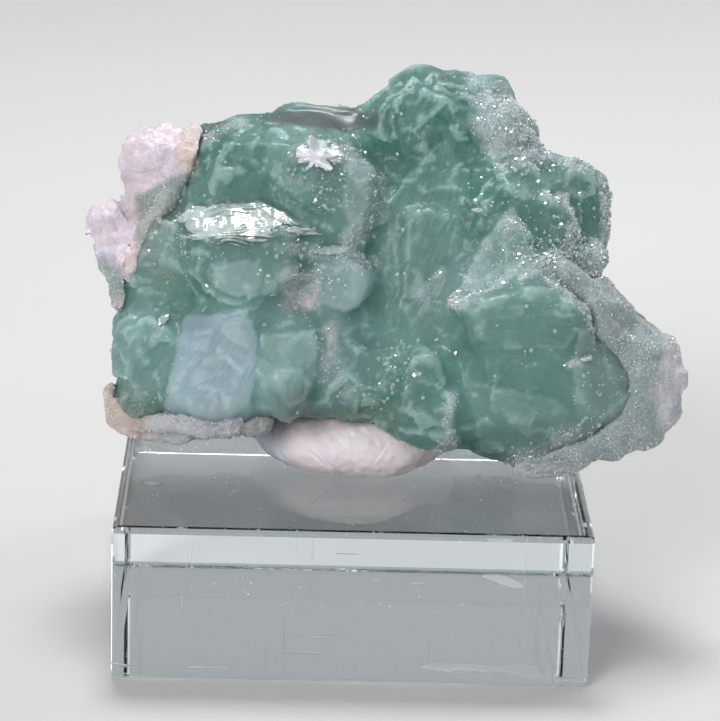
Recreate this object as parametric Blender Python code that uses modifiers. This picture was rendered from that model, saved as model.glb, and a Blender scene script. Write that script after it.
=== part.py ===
"""Apophyllite cluster on a clear display block, held up by a wad of mounting putty.

World frame in metres, +Z up. The origin is the centre of the block's bottom face, and the specimen faces -Y.
The specimen has a frame of its own, in millimetres: u to the right along its face, v up its face, and w out of
its face. The face leans back from upright, as it sits in the putty.
"""
import random
from math import cos, pi, radians, sin, tau

import bmesh
import bpy
from mathutils import Euler, Matrix, Vector, noise
from mathutils.bvhtree import BVHTree

MM = 0.001
GAP = 0.3           # clearance between touching pieces, mm

BLOCK_SIDE = 60.0   # acrylic block, mm
BLOCK_HEIGHT = 20.3
BLOCK_EDGE = 0.8    # radius of the block's polished edges

FACE_ORIGIN = (0.7, -3.5, 34.1)   # where the specimen's own frame starts, mm
FACE_LEAN = 18.2                  # degrees that the face leans back
FACE_TURN = -1.4                  # degrees about the upright axis
FACE_ROLL = 1.8                   # degrees anticlockwise as seen from the front

PUTTY_CENTRE = (0.5, -0.6, 23.0)
PUTTY_RADII = (13.4, 11.6, 6.2)

# Each crystal: its outline on the face (u, v), the levels of its back, rim and front along w, the share of
# the outline that the front facet keeps, how far that facet is shifted, and how the facet slopes in u and v.
CRYSTALS = {
    "left_body": dict(
        outline=[(-22.0, 27.0), (-10.0, 31.0), (0.0, 29.0), (5.0, 20.0), (6.0, 8.0), (6.0, -4.0), (-2.0, -6.5),
                 (-12.0, -5.5), (-22.0, -6.5), (-30.0, -4.0), (-30.6, 6.0), (-29.0, 16.0)],
        levels=(-8.5, 0.5, 6.0), facet=0.78, heel_rise=3.0),
    "right_body": dict(
        outline=[(2.0, 26.0), (12.0, 29.0), (22.0, 26.5), (30.0, 22.0), (31.0, 12.0), (30.0, 2.0),
                 (31.0, -6.0), (24.0, -9.0), (12.0, -8.0), (4.0, -7.0), (0.0, 8.0)],
        levels=(-8.5, -2.5, 4.0), facet=0.8, heel_rise=3.5),
    "upper_left_dome": dict(
        outline=[(-20.8, 29.3), (-16.6, 31.5), (-11.7, 32.2), (-3.9, 31.0), (-1.0, 28.6), (1.6, 23.7),
                 (1.4, 18.9), (-2.0, 14.0), (-8.0, 10.0), (-20.0, 9.0), (-26.0, 11.0), (-27.0, 16.0),
                 (-25.0, 22.0)],
        levels=(-8.5, 1.0, 8.5), facet=0.55, shift=(0.5, 0.5)),
    "clear_plate_behind": dict(
        outline=[(-13.4, 31.5), (-10.5, 33.4), (-7.6, 34.0), (-1.0, 33.2), (0.9, 32.0), (1.5, 27.0),
                 (-8.0, 25.0), (-13.5, 27.0)],
        levels=(-9.0, -5.0, -3.0), facet=0.9, slope=(0.05, -0.15)),
    "dark_knob": dict(
        outline=[(-21.4, 28.6), (-21.3, 30.2), (-20.4, 31.2), (-19.4, 30.7), (-18.6, 29.6), (-19.0, 27.2),
                 (-20.8, 27.0)],
        levels=(-3.0, 1.0, 2.2), facet=0.6),
    "fan_with_drusy_rim": dict(
        outline=[(-7.8, 24.8), (-4.9, 26.7), (-2.0, 27.0), (1.0, 24.8), (2.3, 22.2), (2.1, 19.0),
                 (0.3, 15.5), (-2.8, 14.0), (-6.0, 15.7), (-8.1, 19.8)],
        levels=(-4.0, 7.5, 10.0), facet=0.8, slope=(0.10, 0.12)),
    "stepped_ledge": dict(
        outline=[(-24.5, 16.0), (-22.3, 19.4), (-18.5, 20.8), (-14.0, 21.1), (-7.6, 18.8), (-3.8, 16.2),
                 (-5.4, 12.4), (-8.9, 8.9), (-16.0, 7.0), (-21.5, 8.3), (-24.5, 12.0)],
        levels=(-4.0, 6.5, 12.5), facet=0.62, shift=(0.0, -2.4), slope=(0.0, -0.08)),
    "left_shoulder": dict(
        outline=[(-27.3, 18.9), (-24.0, 20.8), (-20.8, 18.9), (-20.8, 9.1), (-25.4, 5.8), (-30.2, 5.9),
                 (-31.0, 9.8), (-29.7, 14.3)],
        levels=(-6.5, 2.0, 5.8), facet=0.6),
    "left_block": dict(
        outline=[(-31.6, 5.4), (-29.4, 6.1), (-25.6, 5.4), (-21.8, 5.4), (-22.5, 1.3), (-24.3, -2.0),
                 (-28.2, -2.3), (-31.6, -2.1)],
        levels=(-8.0, 5.8, 8.0), facet=0.82, slope=(0.05, -0.1)),
    "left_block_step": dict(
        outline=[(-27.8, 4.8), (-26.6, 5.6), (-24.8, 3.8), (-25.5, 1.4), (-27.4, 1.8)],
        levels=(0.0, 9.0, 10.0), facet=0.75, slope=(0.2, 0.1)),
    "left_block_low": dict(
        outline=[(-31.2, -2.0), (-28.0, -1.6), (-24.9, -5.1), (-25.5, -8.2), (-29.3, -8.6), (-32.0, -5.7)],
        levels=(-5.0, 3.5, 6.5), facet=0.7, slope=(0.1, -0.1)),
    "bluish_face": dict(
        outline=[(-21.6, 5.1), (-14.6, 6.6), (-12.1, 5.4), (-11.1, 1.3), (-11.7, -4.5), (-12.9, -6.6),
                 (-15.9, -8.5), (-18.4, -8.8), (-24.1, -7.0), (-26.3, -4.8), (-24.8, -2.5), (-23.1, 1.3)],
        levels=(-5.0, 9.0, 12.0), facet=0.78, shift=(-0.4, 0.2), slope=(0.1, -0.16)),
    "down_point": dict(
        outline=[(-13.3, -1.6), (-11.0, -0.3), (-7.6, -0.7), (-5.5, -2.6), (-6.0, -5.8), (-8.0, -7.1),
                 (-9.7, -7.8), (-11.4, -6.4), (-12.9, -4.1)],
        levels=(0.0, 9.5, 13.0), facet=0.5, shift=(0.3, 0.6)),
    "middle_left": dict(
        outline=[(-15.2, 7.6), (-9.5, 8.9), (-4.5, 7.0), (-3.2, 2.6), (-4.5, -2.6), (-8.9, -4.5),
                 (-12.4, -2.6), (-14.2, 2.6)],
        levels=(-8.0, 6.5, 10.5), facet=0.6, slope=(-0.1, 0.05)),
    "pale_crystal": dict(
        outline=[(-4.8, 12.4), (-2.0, 13.9), (0.7, 12.9), (2.1, 10.1), (0.8, 7.6), (-0.3, 5.4), (-2.5, 4.1),
                 (-4.5, 5.4), (-5.6, 8.6)],
        levels=(-4.0, 8.0, 10.5), facet=0.72, slope=(0.15, 0.1)),
    "bottom_middle": dict(
        outline=[(-7.0, 2.0), (-2.0, 4.5), (3.3, 3.2), (5.1, -1.3), (4.8, -7.5), (3.2, -8.3), (-2.0, -7.6),
                 (-6.1, -7.3), (-7.7, -3.2)],
        levels=(-8.0, 4.5, 9.0), facet=0.6, shift=(0.0, 0.5), heel_rise=2.5),
    "bottom_right_lump": dict(
        outline=[(3.8, 1.3), (7.0, 3.2), (10.2, 2.0), (11.8, -2.0), (12.7, -6.3), (12.8, -9.8), (11.4, -11.3),
                 (8.9, -11.3), (5.1, -10.1), (3.2, -7.6)],
        levels=(-4.0, 7.5, 11.5), facet=0.6, shift=(0.0, 0.8), heel_rise=4.0),
    "centre": dict(
        outline=[(2.3, 26.0), (7.8, 27.3), (14.3, 25.4), (18.2, 20.8), (18.2, 14.3), (13.7, 9.1), (11.7, 2.6),
                 (9.1, -2.6), (3.9, -3.9), (0.7, 2.6), (1.3, 10.4), (2.0, 18.2)],
        levels=(-9.0, -1.0, 6.8), facet=0.5, shift=(0.5, -1.0), slope=(0.0, -0.08)),
    "tower": dict(
        outline=[(0.5, 31.9), (1.3, 34.6), (3.3, 36.3), (5.9, 38.2), (7.8, 39.1), (11.1, 37.9), (12.8, 38.4),
                 (14.8, 37.6), (16.5, 35.2), (18.2, 31.2), (18.2, 25.4), (14.3, 22.8), (7.8, 22.1),
                 (2.6, 24.0), (0.8, 27.3)],
        levels=(-10.0, -5.5, 2.5), facet=0.58, shift=(0.0, -2.5)),
    "tower_ridge": dict(
        outline=[(1.0, 31.2), (2.6, 34.2), (6.3, 37.2), (8.4, 36.4), (5.4, 33.4), (3.4, 29.5), (1.6, 27.4)],
        levels=(-8.0, 0.5, 3.4), facet=0.4, slope=(-0.1, -0.1)),
    "tower_tip_behind": dict(
        outline=[(15.4, 36.4), (16.8, 37.2), (18.9, 37.3), (20.3, 35.6), (20.9, 33.2), (17.0, 32.4)],
        levels=(-10.0, -4.5, -2.5), facet=0.7, slope=(0.1, 0.0)),
    "tower_shoulder": dict(
        outline=[(15.4, 34.2), (19.4, 34.8), (21.4, 32.9), (23.1, 30.0), (23.2, 26.6), (20.2, 24.9),
                 (16.2, 25.9), (14.7, 29.7)],
        levels=(-10.0, -3.0, 2.6), facet=0.5, shift=(-0.6, -0.6)),
    "right_flank": dict(
        outline=[(14.3, 24.0), (18.2, 26.0), (22.1, 25.4), (23.4, 22.1), (20.8, 15.6), (21.5, 12.4),
                 (16.9, 9.8), (13.7, 11.7), (13.0, 18.2)],
        levels=(-10.0, 2.5, 7.2), facet=0.55, slope=(0.05, -0.05)),
    "step_top": dict(
        outline=[(22.8, 26.1), (24.4, 27.2), (26.1, 26.5), (26.4, 23.7), (24.0, 22.0), (22.0, 23.4)],
        levels=(-8.0, -0.8, 1.0), facet=0.8, slope=(0.1, 0.1)),
    "right_plate": dict(
        outline=[(25.7, 24.7), (27.1, 26.0), (29.3, 25.2), (32.0, 23.8), (32.6, 20.9), (32.3, 15.6),
                 (31.3, 12.7), (28.0, 12.4), (25.5, 16.3), (25.0, 20.8)],
        levels=(-10.0, -0.8, 1.6), facet=0.8, slope=(-0.12, 0.12)),
    "square_plate": dict(
        outline=[(20.3, 20.5), (23.8, 21.4), (27.0, 20.9), (27.7, 17.4), (26.7, 14.1), (23.1, 13.3),
                 (20.6, 15.4)],
        levels=(-6.0, 3.6, 5.4), facet=0.84, slope=(-0.1, 0.08)),
    "finger_plate": dict(
        outline=[(18.5, 18.6), (19.8, 18.9), (20.5, 16.6), (21.8, 16.0), (22.0, 13.4), (19.9, 10.9),
                 (17.9, 12.5)],
        levels=(0.0, 7.2, 8.6), facet=0.6),
    "low_plate": dict(
        outline=[(27.0, 13.8), (30.7, 15.0), (32.0, 12.8), (30.8, 10.4), (27.8, 9.7), (25.8, 11.9)],
        levels=(-6.0, 2.2, 4.6), facet=0.7, slope=(-0.1, 0.1)),
    "drusy_ridge": dict(
        outline=[(11.4, 7.2), (14.0, 9.8), (19.1, 11.7), (23.5, 13.4), (26.1, 12.4), (26.7, 10.7),
                 (23.0, 9.5), (17.8, 8.5), (13.4, 6.7)],
        levels=(-4.0, 8.8, 10.6), facet=0.45),
    "lens": dict(
        outline=[(12.2, 7.0), (17.9, 9.2), (24.3, 10.9), (29.4, 8.9), (32.0, 5.1), (35.7, 0.0),
                 (36.9, -4.5), (35.6, -8.8), (30.4, -11.6), (25.4, -13.2), (21.6, -13.9), (18.4, -12.9),
                 (15.2, -12.0), (13.0, -10.1), (12.4, -5.1), (11.4, 1.3)],
        levels=(-4.0, 5.8, 12.6), facet=0.5, shift=(-1.5, 0.6), slope=(-0.05, 0.04), heel_rise=4.5),
    "lens_upper_layer": dict(
        outline=[(12.0, 7.0), (17.7, 9.1), (24.0, 10.0), (27.8, 7.5), (29.9, 3.2), (29.3, 0.4),
                 (25.9, -0.9), (20.2, 0.0), (13.9, 1.9)],
        levels=(2.0, 11.6, 13.6), facet=0.75, shift=(-0.5, 0.0), slope=(-0.12, 0.08)),
}

# Clusters of small crystals on the big ones: centre (u, v), half-extents (u, v), number and largest half-width.
CLUSTERS = {
    "sparkling_group": ((-5.6, 25.6), (2.8, 2.2), 9, 1.25),
    "ledge_group": ((-8.3, 10.2), (1.7, 1.9), 5, 1.1),
    "fan_foot_group": ((-6.3, 16.0), (3.4, 1.0), 6, 0.9),
    "bottom_group": ((-3.6, 0.6), (3.2, 4.2), 8, 1.0),
    "left_group": ((-26.6, 1.6), (3.4, 2.4), 7, 1.4),
    "left_low_group": ((-27.6, -5.0), (2.6, 2.0), 5, 1.2),
    "left_top_group": ((-18.6, 25.4), (3.8, 2.6), 7, 1.2),
    "tower_group": ((9.0, 31.0), (5.6, 4.6), 14, 1.5),
    "tower_crest": ((12.0, 35.6), (4.0, 1.2), 7, 1.2),
    "shoulder_group": ((19.2, 30.0), (2.6, 3.2), 8, 1.1),
    "step_group": ((22.6, 23.6), (3.0, 1.8), 8, 1.2),
    "plate_group": ((24.2, 17.2), (3.0, 3.0), 6, 1.0),
    "ridge_group": ((19.4, 10.8), (5.4, 1.2), 9, 0.9),
    "lens_top_group": ((27.4, 7.4), (2.4, 1.4), 6, 1.0),
    "lump_group": ((11.2, -5.6), (0.9, 4.2), 6, 1.0),
}

# The white matrix: balls, each with its centre (u, v, w), its radii and how finely the ball is cut.
LUMPS = {
    "knob_top": ((-26.0, 26.0, -2.0), (5.0, 4.5, 4.4), 3),
    "knob_top_corner": ((-28.4, 28.0, -2.4), (2.4, 2.4, 2.6), 2),
    "knob_top_foot": ((-26.8, 21.9, -4.5), (3.7, 4.0, 6.5), 3),
    "knob_left": ((-32.3, 17.7, -2.0), (3.3, 3.1, 3.3), 3),
    "knob_left_foot": ((-31.0, 13.6, -5.0), (3.0, 4.2, 6.5), 3),
    "left_crust": ((-29.8, 9.2, -4.5), (2.7, 3.7, 7.5), 3),
    "back_low_right": ((25.0, 0.0, -3.5), (12.0, 9.5, 7.0), 3),
    "back_hump_left": ((-23.5, 13.0, -10.5), (7.5, 8.5, 4.5), 3),
    "back_hump_top": ((-7.0, 25.0, -9.5), (7.0, 4.5, 4.0), 3),
    "back_hump_low": ((12.5, 0.5, -10.0), (7.0, 5.5, 5.0), 3),
}

# The matrix's broken slabs and edges, written as the crystals are.
SLABS = {
    "back_left": dict(
        outline=[(-27.5, 18.0), (-24.0, 23.5), (-14.0, 28.5), (-4.0, 28.5), (2.0, 22.0), (3.0, 8.0), (0.0, -3.0),
                 (-10.0, -5.5), (-22.0, -4.5), (-28.0, 0.0), (-29.5, 8.0)],
        levels=(-14.5, -6.0, -4.5), facet=0.9, slope=(0.06, -0.10)),
    "back_right": dict(
        outline=[(0.0, 23.0), (5.5, 30.0), (13.0, 32.5), (19.0, 29.0), (26.0, 21.5), (28.0, 12.0), (28.5, 2.0),
                 (21.0, -4.5), (10.0, -5.0), (0.0, 0.0)],
        levels=(-16.5, -6.5, -5.0), facet=0.9, slope=(-0.08, 0.05)),
    "back_step_left": dict(
        outline=[(-18.0, 5.0), (-14.5, 17.0), (-6.0, 21.0), (3.0, 16.0), (4.5, 6.0), (-4.0, -0.5), (-13.0, -0.5)],
        levels=(-17.5, -12.0, -9.0), facet=0.9, slope=(0.10, 0.12)),
    "back_step_right": dict(
        outline=[(8.0, 10.0), (9.5, 24.0), (16.0, 26.5), (21.5, 20.0), (23.0, 9.0), (16.0, 3.5)],
        levels=(-19.0, -13.0, -9.0), facet=0.9, slope=(-0.12, -0.10)),
    "rim_low_left": dict(
        outline=[(-32.7, -5.2), (-32.9, -8.0), (-31.2, -9.4), (-28.6, -9.9), (-25.3, -10.6), (-21.4, -9.9),
                 (-16.2, -9.0), (-12.6, -9.5), (-11.4, -7.2), (-17.0, -5.0), (-24.0, -4.6), (-30.6, -4.4)],
        levels=(-6.0, 1.5, 4.2), facet=0.78, heel_rise=2.5),
    "rim_right": dict(
        outline=[(25.0, 13.0), (30.8, 11.0), (33.4, 7.9), (36.0, 4.7), (38.6, 2.7), (41.0, 0.4), (41.6, -1.9),
                 (40.6, -4.2), (40.8, -5.8), (39.2, -8.4), (37.6, -10.2), (36.0, -11.0), (31.0, -12.4),
                 (25.8, -14.7), (22.0, -14.8), (19.6, -13.8), (18.0, -6.0), (20.0, 4.0)],
        levels=(-4.0, 4.6, 7.8), facet=0.74, shift=(-1.5, 0.8), slope=(-0.04, -0.06), heel_rise=4.5),
}

# Humps of the botryoidal edge, from top to bottom: centre (u, v, w) and radius.
BEADS = {
    "right_edge": [
        ((33.2, 6.0, 2.4), 2.2), ((35.8, 3.0, 2.8), 2.5), ((38.8, 0.6, 3.0), 2.6), ((39.6, -2.2, 3.2), 2.6),
        ((38.4, -6.0, 3.8), 2.9), ((36.2, -8.8, 4.4), 2.6), ((32.4, -10.4, 5.0), 2.5), ((28.0, -11.8, 5.6), 2.4)],
    "left_edge": [
        ((-31.0, -4.2, 0.8), 2.0), ((-30.8, -7.2, 1.2), 2.2), ((-27.4, -8.4, 1.8), 2.0),
        ((-23.6, -8.6, 2.0), 2.2)],
}

SMALL_START = 40.0        # level in front of the face from which a small crystal is dropped on to it
SMALL_DEPTH = 2.2         # a small crystal's length over its half-width
SQUARE_CORNER = 2 ** 0.5  # corner radius of a square over its half-width
BEAD_CUT = 2
LUMP_RELIEF = 0.55        # mm that the matrix's lumps stand in and out
LUMP_RELIEF_WIDTH = 2.6   # mm from one hump to the next
HEEL = 0.72               # share of the outline kept at a crystal's back
WALL = 0.45               # share of the way from rim to back where the wall stays upright


def clear_scene():
    for item in list(bpy.data.objects):
        bpy.data.objects.remove(item, do_unlink=True)


def collection(name):
    made = bpy.data.collections.new(name)
    bpy.context.scene.collection.children.link(made)
    return made


def material(name, colour, roughness, transmission=0.0):
    made = bpy.data.materials.new(name)
    made.use_nodes = True
    shader = made.node_tree.nodes["Principled BSDF"]
    shader.inputs["Base Color"].default_value = (*colour, 1.0)
    shader.inputs["Roughness"].default_value = roughness
    shader.inputs["Metallic"].default_value = 0.0
    shader.inputs["Transmission Weight"].default_value = transmission
    return made


def face_frame():
    """The specimen's frame in the world: columns u, v and w, scaled from millimetres to metres."""
    turn = Matrix.Rotation(radians(FACE_TURN), 4, "Z")
    lean = Matrix.Rotation(radians(90.0 - FACE_LEAN), 4, "X")
    roll = Matrix.Rotation(radians(FACE_ROLL), 4, "Z")
    place = Matrix.Translation(Vector(FACE_ORIGIN) * MM)
    return place @ turn @ lean @ roll @ Matrix.Scale(MM, 4)


def add_object(name, mesh, group, finish=None):
    made = bpy.data.objects.new(name, mesh)
    group.objects.link(made)
    if finish is not None:
        mesh.materials.append(finish)
    return made


def hide_guide(guide):
    guide.hide_render = True
    guide.display_type = "WIRE"


def to_mesh(bm, name, matrix):
    """Faces out, put in place, and handed over as a mesh."""
    bm.transform(matrix)
    bmesh.ops.recalc_face_normals(bm, faces=bm.faces)
    mesh = bpy.data.meshes.new(name)
    bm.to_mesh(mesh)
    bm.free()
    return mesh


def centre_of(outline):
    return (sum(p[0] for p in outline) / len(outline), sum(p[1] for p in outline) / len(outline))


def ring(spec, scale, shift, level, grow):
    """The outline scaled about its centre, shifted, grown outwards, and laid on its sloping level."""
    cu, cv = centre_of(spec["outline"])
    slope_u, slope_v = spec.get("slope", (0.0, 0.0))
    points = []
    for u, v in spec["outline"]:
        du, dv = (u - cu) * scale, (v - cv) * scale
        reach = (du * du + dv * dv) ** 0.5
        du, dv = du * (reach + grow) / reach, dv * (reach + grow) / reach
        du, dv = du + shift[0], dv + shift[1]
        points.append(Vector((cu + du, cv + dv, level + slope_u * du + slope_v * dv)))
    return points


def crystal_mesh(name, spec, matrix, grow=0.0):
    """A face drawn on the outline at the back, then extruded and scaled to the rim and the front facet."""
    back, rim, front = spec["levels"]
    lift = (0.0, spec.get("heel_rise", 0.0))
    steps = [
        ring(spec, HEEL, lift, back - grow, grow),
        ring(spec, 1.0, (0.0, 0.0), rim - (rim - back) * WALL, grow),
        ring(spec, 1.0, (0.0, 0.0), rim + 0.5 * grow, grow),
        ring(spec, spec["facet"], spec.get("shift", (0.0, 0.0)), front + grow, grow),
    ]
    bm = bmesh.new()
    face = bm.faces.new([bm.verts.new(p) for p in steps[0]])
    for count, points in enumerate(steps[1:]):
        grown = bmesh.ops.extrude_face_region(bm, geom=[face])
        if count > 0:
            bmesh.ops.delete(bm, geom=[face], context="FACES_ONLY")
        face = next(g for g in grown["geom"] if isinstance(g, bmesh.types.BMFace))
        for corner, point in zip([loop.vert for loop in face.loops], points):
            corner.co = point
    return to_mesh(bm, name, matrix)


def small_crystal_places(large_meshes, frame):
    """Spots in the clusters, each dropped along -w on to the large crystals and leaned with their surface."""
    merged = bmesh.new()
    for mesh in large_meshes:
        merged.from_mesh(mesh)
    surface = BVHTree.FromBMesh(merged)
    merged.free()
    inward = -(frame.to_3x3() @ Vector((0.0, 0.0, 1.0))).normalized()
    places = []
    for cluster, (centre, spread, count, largest) in CLUSTERS.items():
        draw = random.Random(cluster)
        for number in range(count):
            angle, reach = draw.uniform(0.0, tau), draw.random() ** 0.5
            start = frame @ Vector((centre[0] + spread[0] * reach * cos(angle),
                                    centre[1] + spread[1] * reach * sin(angle), SMALL_START))
            half, taper, turn = draw.uniform(0.55, 1.0) * largest, draw.uniform(0.45, 0.95), draw.uniform(0.0, pi)
            spot, normal, _, _ = surface.ray_cast(start, inward)
            lean = normal.to_track_quat("Z", "Y").to_matrix().to_4x4()
            sway = Euler((draw.uniform(-0.5, 0.5), draw.uniform(-0.5, 0.5), turn)).to_matrix().to_4x4()
            place = Matrix.Translation(spot) @ lean @ sway @ Matrix.Scale(MM, 4)
            places.append((f"{cluster}_{number}", place, half, taper))
    return places


def small_crystal_mesh(name, place, half, taper, grow=0.0):
    """A square block tapering to a blunt top, sunk halfway into what it grows from."""
    bm = bmesh.new()
    bmesh.ops.create_cone(bm, cap_ends=True, segments=4, radius1=half * SQUARE_CORNER + grow,
                          radius2=half * SQUARE_CORNER * taper + grow, depth=half * SMALL_DEPTH + 2 * grow)
    return to_mesh(bm, name, place)


def lump_mesh(name, centre, radii, cut, matrix, grow=0.0):
    """A ball drawn out to its radii, with a rolling relief along its own normals."""
    bm = bmesh.new()
    bmesh.ops.create_icosphere(bm, subdivisions=cut, radius=1.0)
    for vert in bm.verts:
        out = vert.co.normalized()
        place = Vector(c + r * k for c, r, k in zip(centre, radii, out))
        relief = LUMP_RELIEF * noise.noise(place / LUMP_RELIEF_WIDTH)
        vert.co = place + out * (relief + grow)
    return to_mesh(bm, name, matrix)


def fuse(target, others):
    union = target.modifiers.new("grown_together", "BOOLEAN")
    union.operation = "UNION"
    union.operand_type = "COLLECTION"
    union.collection = others
    union.solver = "EXACT"


def carve(target, cutter, name):
    cut = target.modifiers.new(name, "BOOLEAN")
    cut.operation = "DIFFERENCE"
    cut.object = cutter
    cut.solver = "EXACT"


def grown_solid(name, meshes, group, helpers, finish=None):
    """The first mesh as an object, joined with the rest, which wait in a collection of their own."""
    first, *rest = meshes
    target = add_object(name, first, group, finish)
    others = bpy.data.collections.new(name + "_members")
    helpers.children.link(others)
    for mesh in rest:
        hide_guide(add_object(mesh.name, mesh, others))
    fuse(target, others)
    return target


def crystal_meshes(frame, grow, tag, places=None):
    large = [crystal_mesh(name + tag, spec, frame, grow) for name, spec in CRYSTALS.items()]
    if places is None:
        places = small_crystal_places(large, frame)
    small = [small_crystal_mesh(name + tag, place, half, taper, grow) for name, place, half, taper in places]
    return large + small, places


def matrix_meshes(frame, grow, tag):
    lumps = [lump_mesh(name + tag, *spec, frame, grow) for name, spec in LUMPS.items()]
    slabs = [crystal_mesh(name + tag, spec, frame, grow) for name, spec in SLABS.items()]
    beads = [lump_mesh(f"{name}{tag}_{number}", centre, (radius,) * 3, BEAD_CUT, frame, grow)
             for name, row in BEADS.items() for number, (centre, radius) in enumerate(row)]
    return lumps + slabs + beads


def acrylic_block(group, finish):
    bpy.ops.mesh.primitive_cube_add(size=1.0, location=(0.0, 0.0, BLOCK_HEIGHT * MM / 2))
    block = bpy.context.object
    block.name = "acrylic_block"
    block.scale = (BLOCK_SIDE * MM, BLOCK_SIDE * MM, BLOCK_HEIGHT * MM)
    bpy.ops.object.transform_apply(location=False, rotation=False, scale=True)
    edges = block.modifiers.new("polished_edges", "BEVEL")
    edges.width = BLOCK_EDGE * MM
    edges.segments = 3
    for owner in list(block.users_collection):
        owner.objects.unlink(block)
    group.objects.link(block)
    block.data.materials.append(finish)


def mounting_putty(group, finish):
    """A ball flattened to a wad, squeezed out at its foot and cut level where it sits on the block."""
    bm = bmesh.new()
    bmesh.ops.create_icosphere(bm, subdivisions=3, radius=1.0)
    for vert in bm.verts:
        out = vert.co.normalized()
        place = Vector(c + r * k for c, r, k in zip(PUTTY_CENTRE, PUTTY_RADII, out))
        vert.co = place + out * 0.5 * noise.noise(place / 4.0)
    level = Vector((0.0, 0.0, BLOCK_HEIGHT + GAP))
    cut = bmesh.ops.bisect_plane(bm, geom=bm.verts[:] + bm.edges[:] + bm.faces[:], plane_co=level,
                                 plane_no=(0.0, 0.0, 1.0), clear_inner=True)
    rim = [g for g in cut["geom_cut"] if isinstance(g, bmesh.types.BMEdge)]
    bmesh.ops.contextual_create(bm, geom=rim)
    return add_object("mounting_putty", to_mesh(bm, "mounting_putty", Matrix.Scale(MM, 4)), group, finish)


def main():
    clear_scene()
    parts = collection("apophyllite_cluster")
    helpers = collection("cutters")
    clear = material("clear_acrylic", (0.93, 0.96, 0.96), 0.05, 1.0)
    white_tack = material("white_tack", (0.83, 0.76, 0.75), 0.6)
    green = material("green_apophyllite", (0.22, 0.45, 0.36), 0.25, 0.3)
    druse = material("white_druse", (0.72, 0.70, 0.72), 0.5)

    frame = face_frame()
    acrylic_block(parts, clear)
    crystals, places = crystal_meshes(frame, 0.0, "")
    grown_solid("apophyllite_crystals", crystals, parts, helpers, green)
    white = grown_solid("chalcedony_matrix", matrix_meshes(frame, 0.0, ""), parts, helpers, druse)
    roomy_crystals, _ = crystal_meshes(frame, GAP, "_room", places)
    crystal_room = grown_solid("crystal_room", roomy_crystals, helpers, helpers)
    matrix_room = grown_solid("matrix_room", matrix_meshes(frame, GAP, "_room"), helpers, helpers)
    hide_guide(crystal_room)
    hide_guide(matrix_room)
    carve(white, crystal_room, "crystals_grown_through")
    putty = mounting_putty(parts, white_tack)
    carve(putty, crystal_room, "print_of_crystals")
    carve(putty, matrix_room, "print_of_matrix")


main()
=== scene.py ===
"""Looks of an apophyllite cluster on white drusy matrix, pressed into putty on a clear acrylic block.

Lengths are millimetres until a mesh is made, and metres after that. The specimen has a face frame of its
own: u to the right along its face, v up its face, w out of its face. The world frame is +Z up, with the face
towards -Y. Salts are numbers that make one noise differ from another.
"""

import bmesh
import bpy
import numpy as np
from mathutils import Matrix, Vector


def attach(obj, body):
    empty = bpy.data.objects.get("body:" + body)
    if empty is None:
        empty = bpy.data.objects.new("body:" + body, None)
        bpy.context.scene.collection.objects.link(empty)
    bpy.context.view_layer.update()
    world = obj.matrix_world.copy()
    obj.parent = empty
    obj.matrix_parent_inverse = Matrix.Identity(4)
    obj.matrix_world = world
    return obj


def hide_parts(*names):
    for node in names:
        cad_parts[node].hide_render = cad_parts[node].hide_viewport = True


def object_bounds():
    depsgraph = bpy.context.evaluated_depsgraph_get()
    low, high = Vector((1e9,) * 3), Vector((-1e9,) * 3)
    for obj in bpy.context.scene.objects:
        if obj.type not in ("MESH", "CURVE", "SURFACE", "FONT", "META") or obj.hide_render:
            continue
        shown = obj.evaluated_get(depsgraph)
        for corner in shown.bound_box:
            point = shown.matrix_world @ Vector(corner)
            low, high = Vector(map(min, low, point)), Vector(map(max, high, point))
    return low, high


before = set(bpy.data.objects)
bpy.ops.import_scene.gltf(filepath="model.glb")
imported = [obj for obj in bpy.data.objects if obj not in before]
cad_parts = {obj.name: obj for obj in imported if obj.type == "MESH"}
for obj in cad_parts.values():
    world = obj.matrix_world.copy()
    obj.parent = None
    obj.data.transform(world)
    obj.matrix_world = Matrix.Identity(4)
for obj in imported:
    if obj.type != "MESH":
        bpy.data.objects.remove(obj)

CAD_BOX = [list(corner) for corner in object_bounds()]
MM = 0.001

# Camera, worked out from the block's corners in the photograph.
IMAGE_SIZE = (720, 721)
FOCAL_PIXELS = 3178.0
CAMERA_PLACE = np.array([-8.76, -396.76, 163.10])
CAMERA_TURN, CAMERA_DIP, CAMERA_ROLL = -0.024, 0.317, 0.031

# The specimen's face looks straight at the camera, so the two share their axes.
FACE_ORIGIN = np.array([0.7, -3.5, 34.1])

BLOCK_TOP = 20.3

# TINY keeps a division from meeting nought, and FAR is farther than any distance that is measured.
TINY, FAR = 1e-9, 99.0
FULL_TURN = 2 * np.pi


def view_axes(turn, dip, roll):
    """Right, up and backward unit vectors of a view turned about Z, dipped below level and rolled."""
    forward = np.array([-np.sin(turn) * np.cos(dip), np.cos(turn) * np.cos(dip), -np.sin(dip)])
    right = np.array([np.cos(turn), np.sin(turn), 0.0])
    up = np.cross(right, forward)
    return np.stack([np.cos(roll) * right + np.sin(roll) * up,
                     np.cos(roll) * up - np.sin(roll) * right,
                     -forward])


FACE_AXES = view_axes(CAMERA_TURN, CAMERA_DIP, CAMERA_ROLL)


def from_face(points):
    """Face frame to world frame, both in millimetres: the rows of the axes weighted by u, v and w."""
    return points @ FACE_AXES + FACE_ORIGIN


def to_face(points):
    """World frame to face frame: the way from its origin, along each of the axes."""
    return (points - FACE_ORIGIN) @ FACE_AXES.T


# Noise and relief on whole arrays of points

CELL_FACTORS = (73856093, 19349663, 83492791)
SALT_FACTOR = 2654435761
FOLDS = ((13, 1274126177), (16, 374761393))
LAST_FOLD, LOW_BITS = 11, 0xFFFFFF


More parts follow.
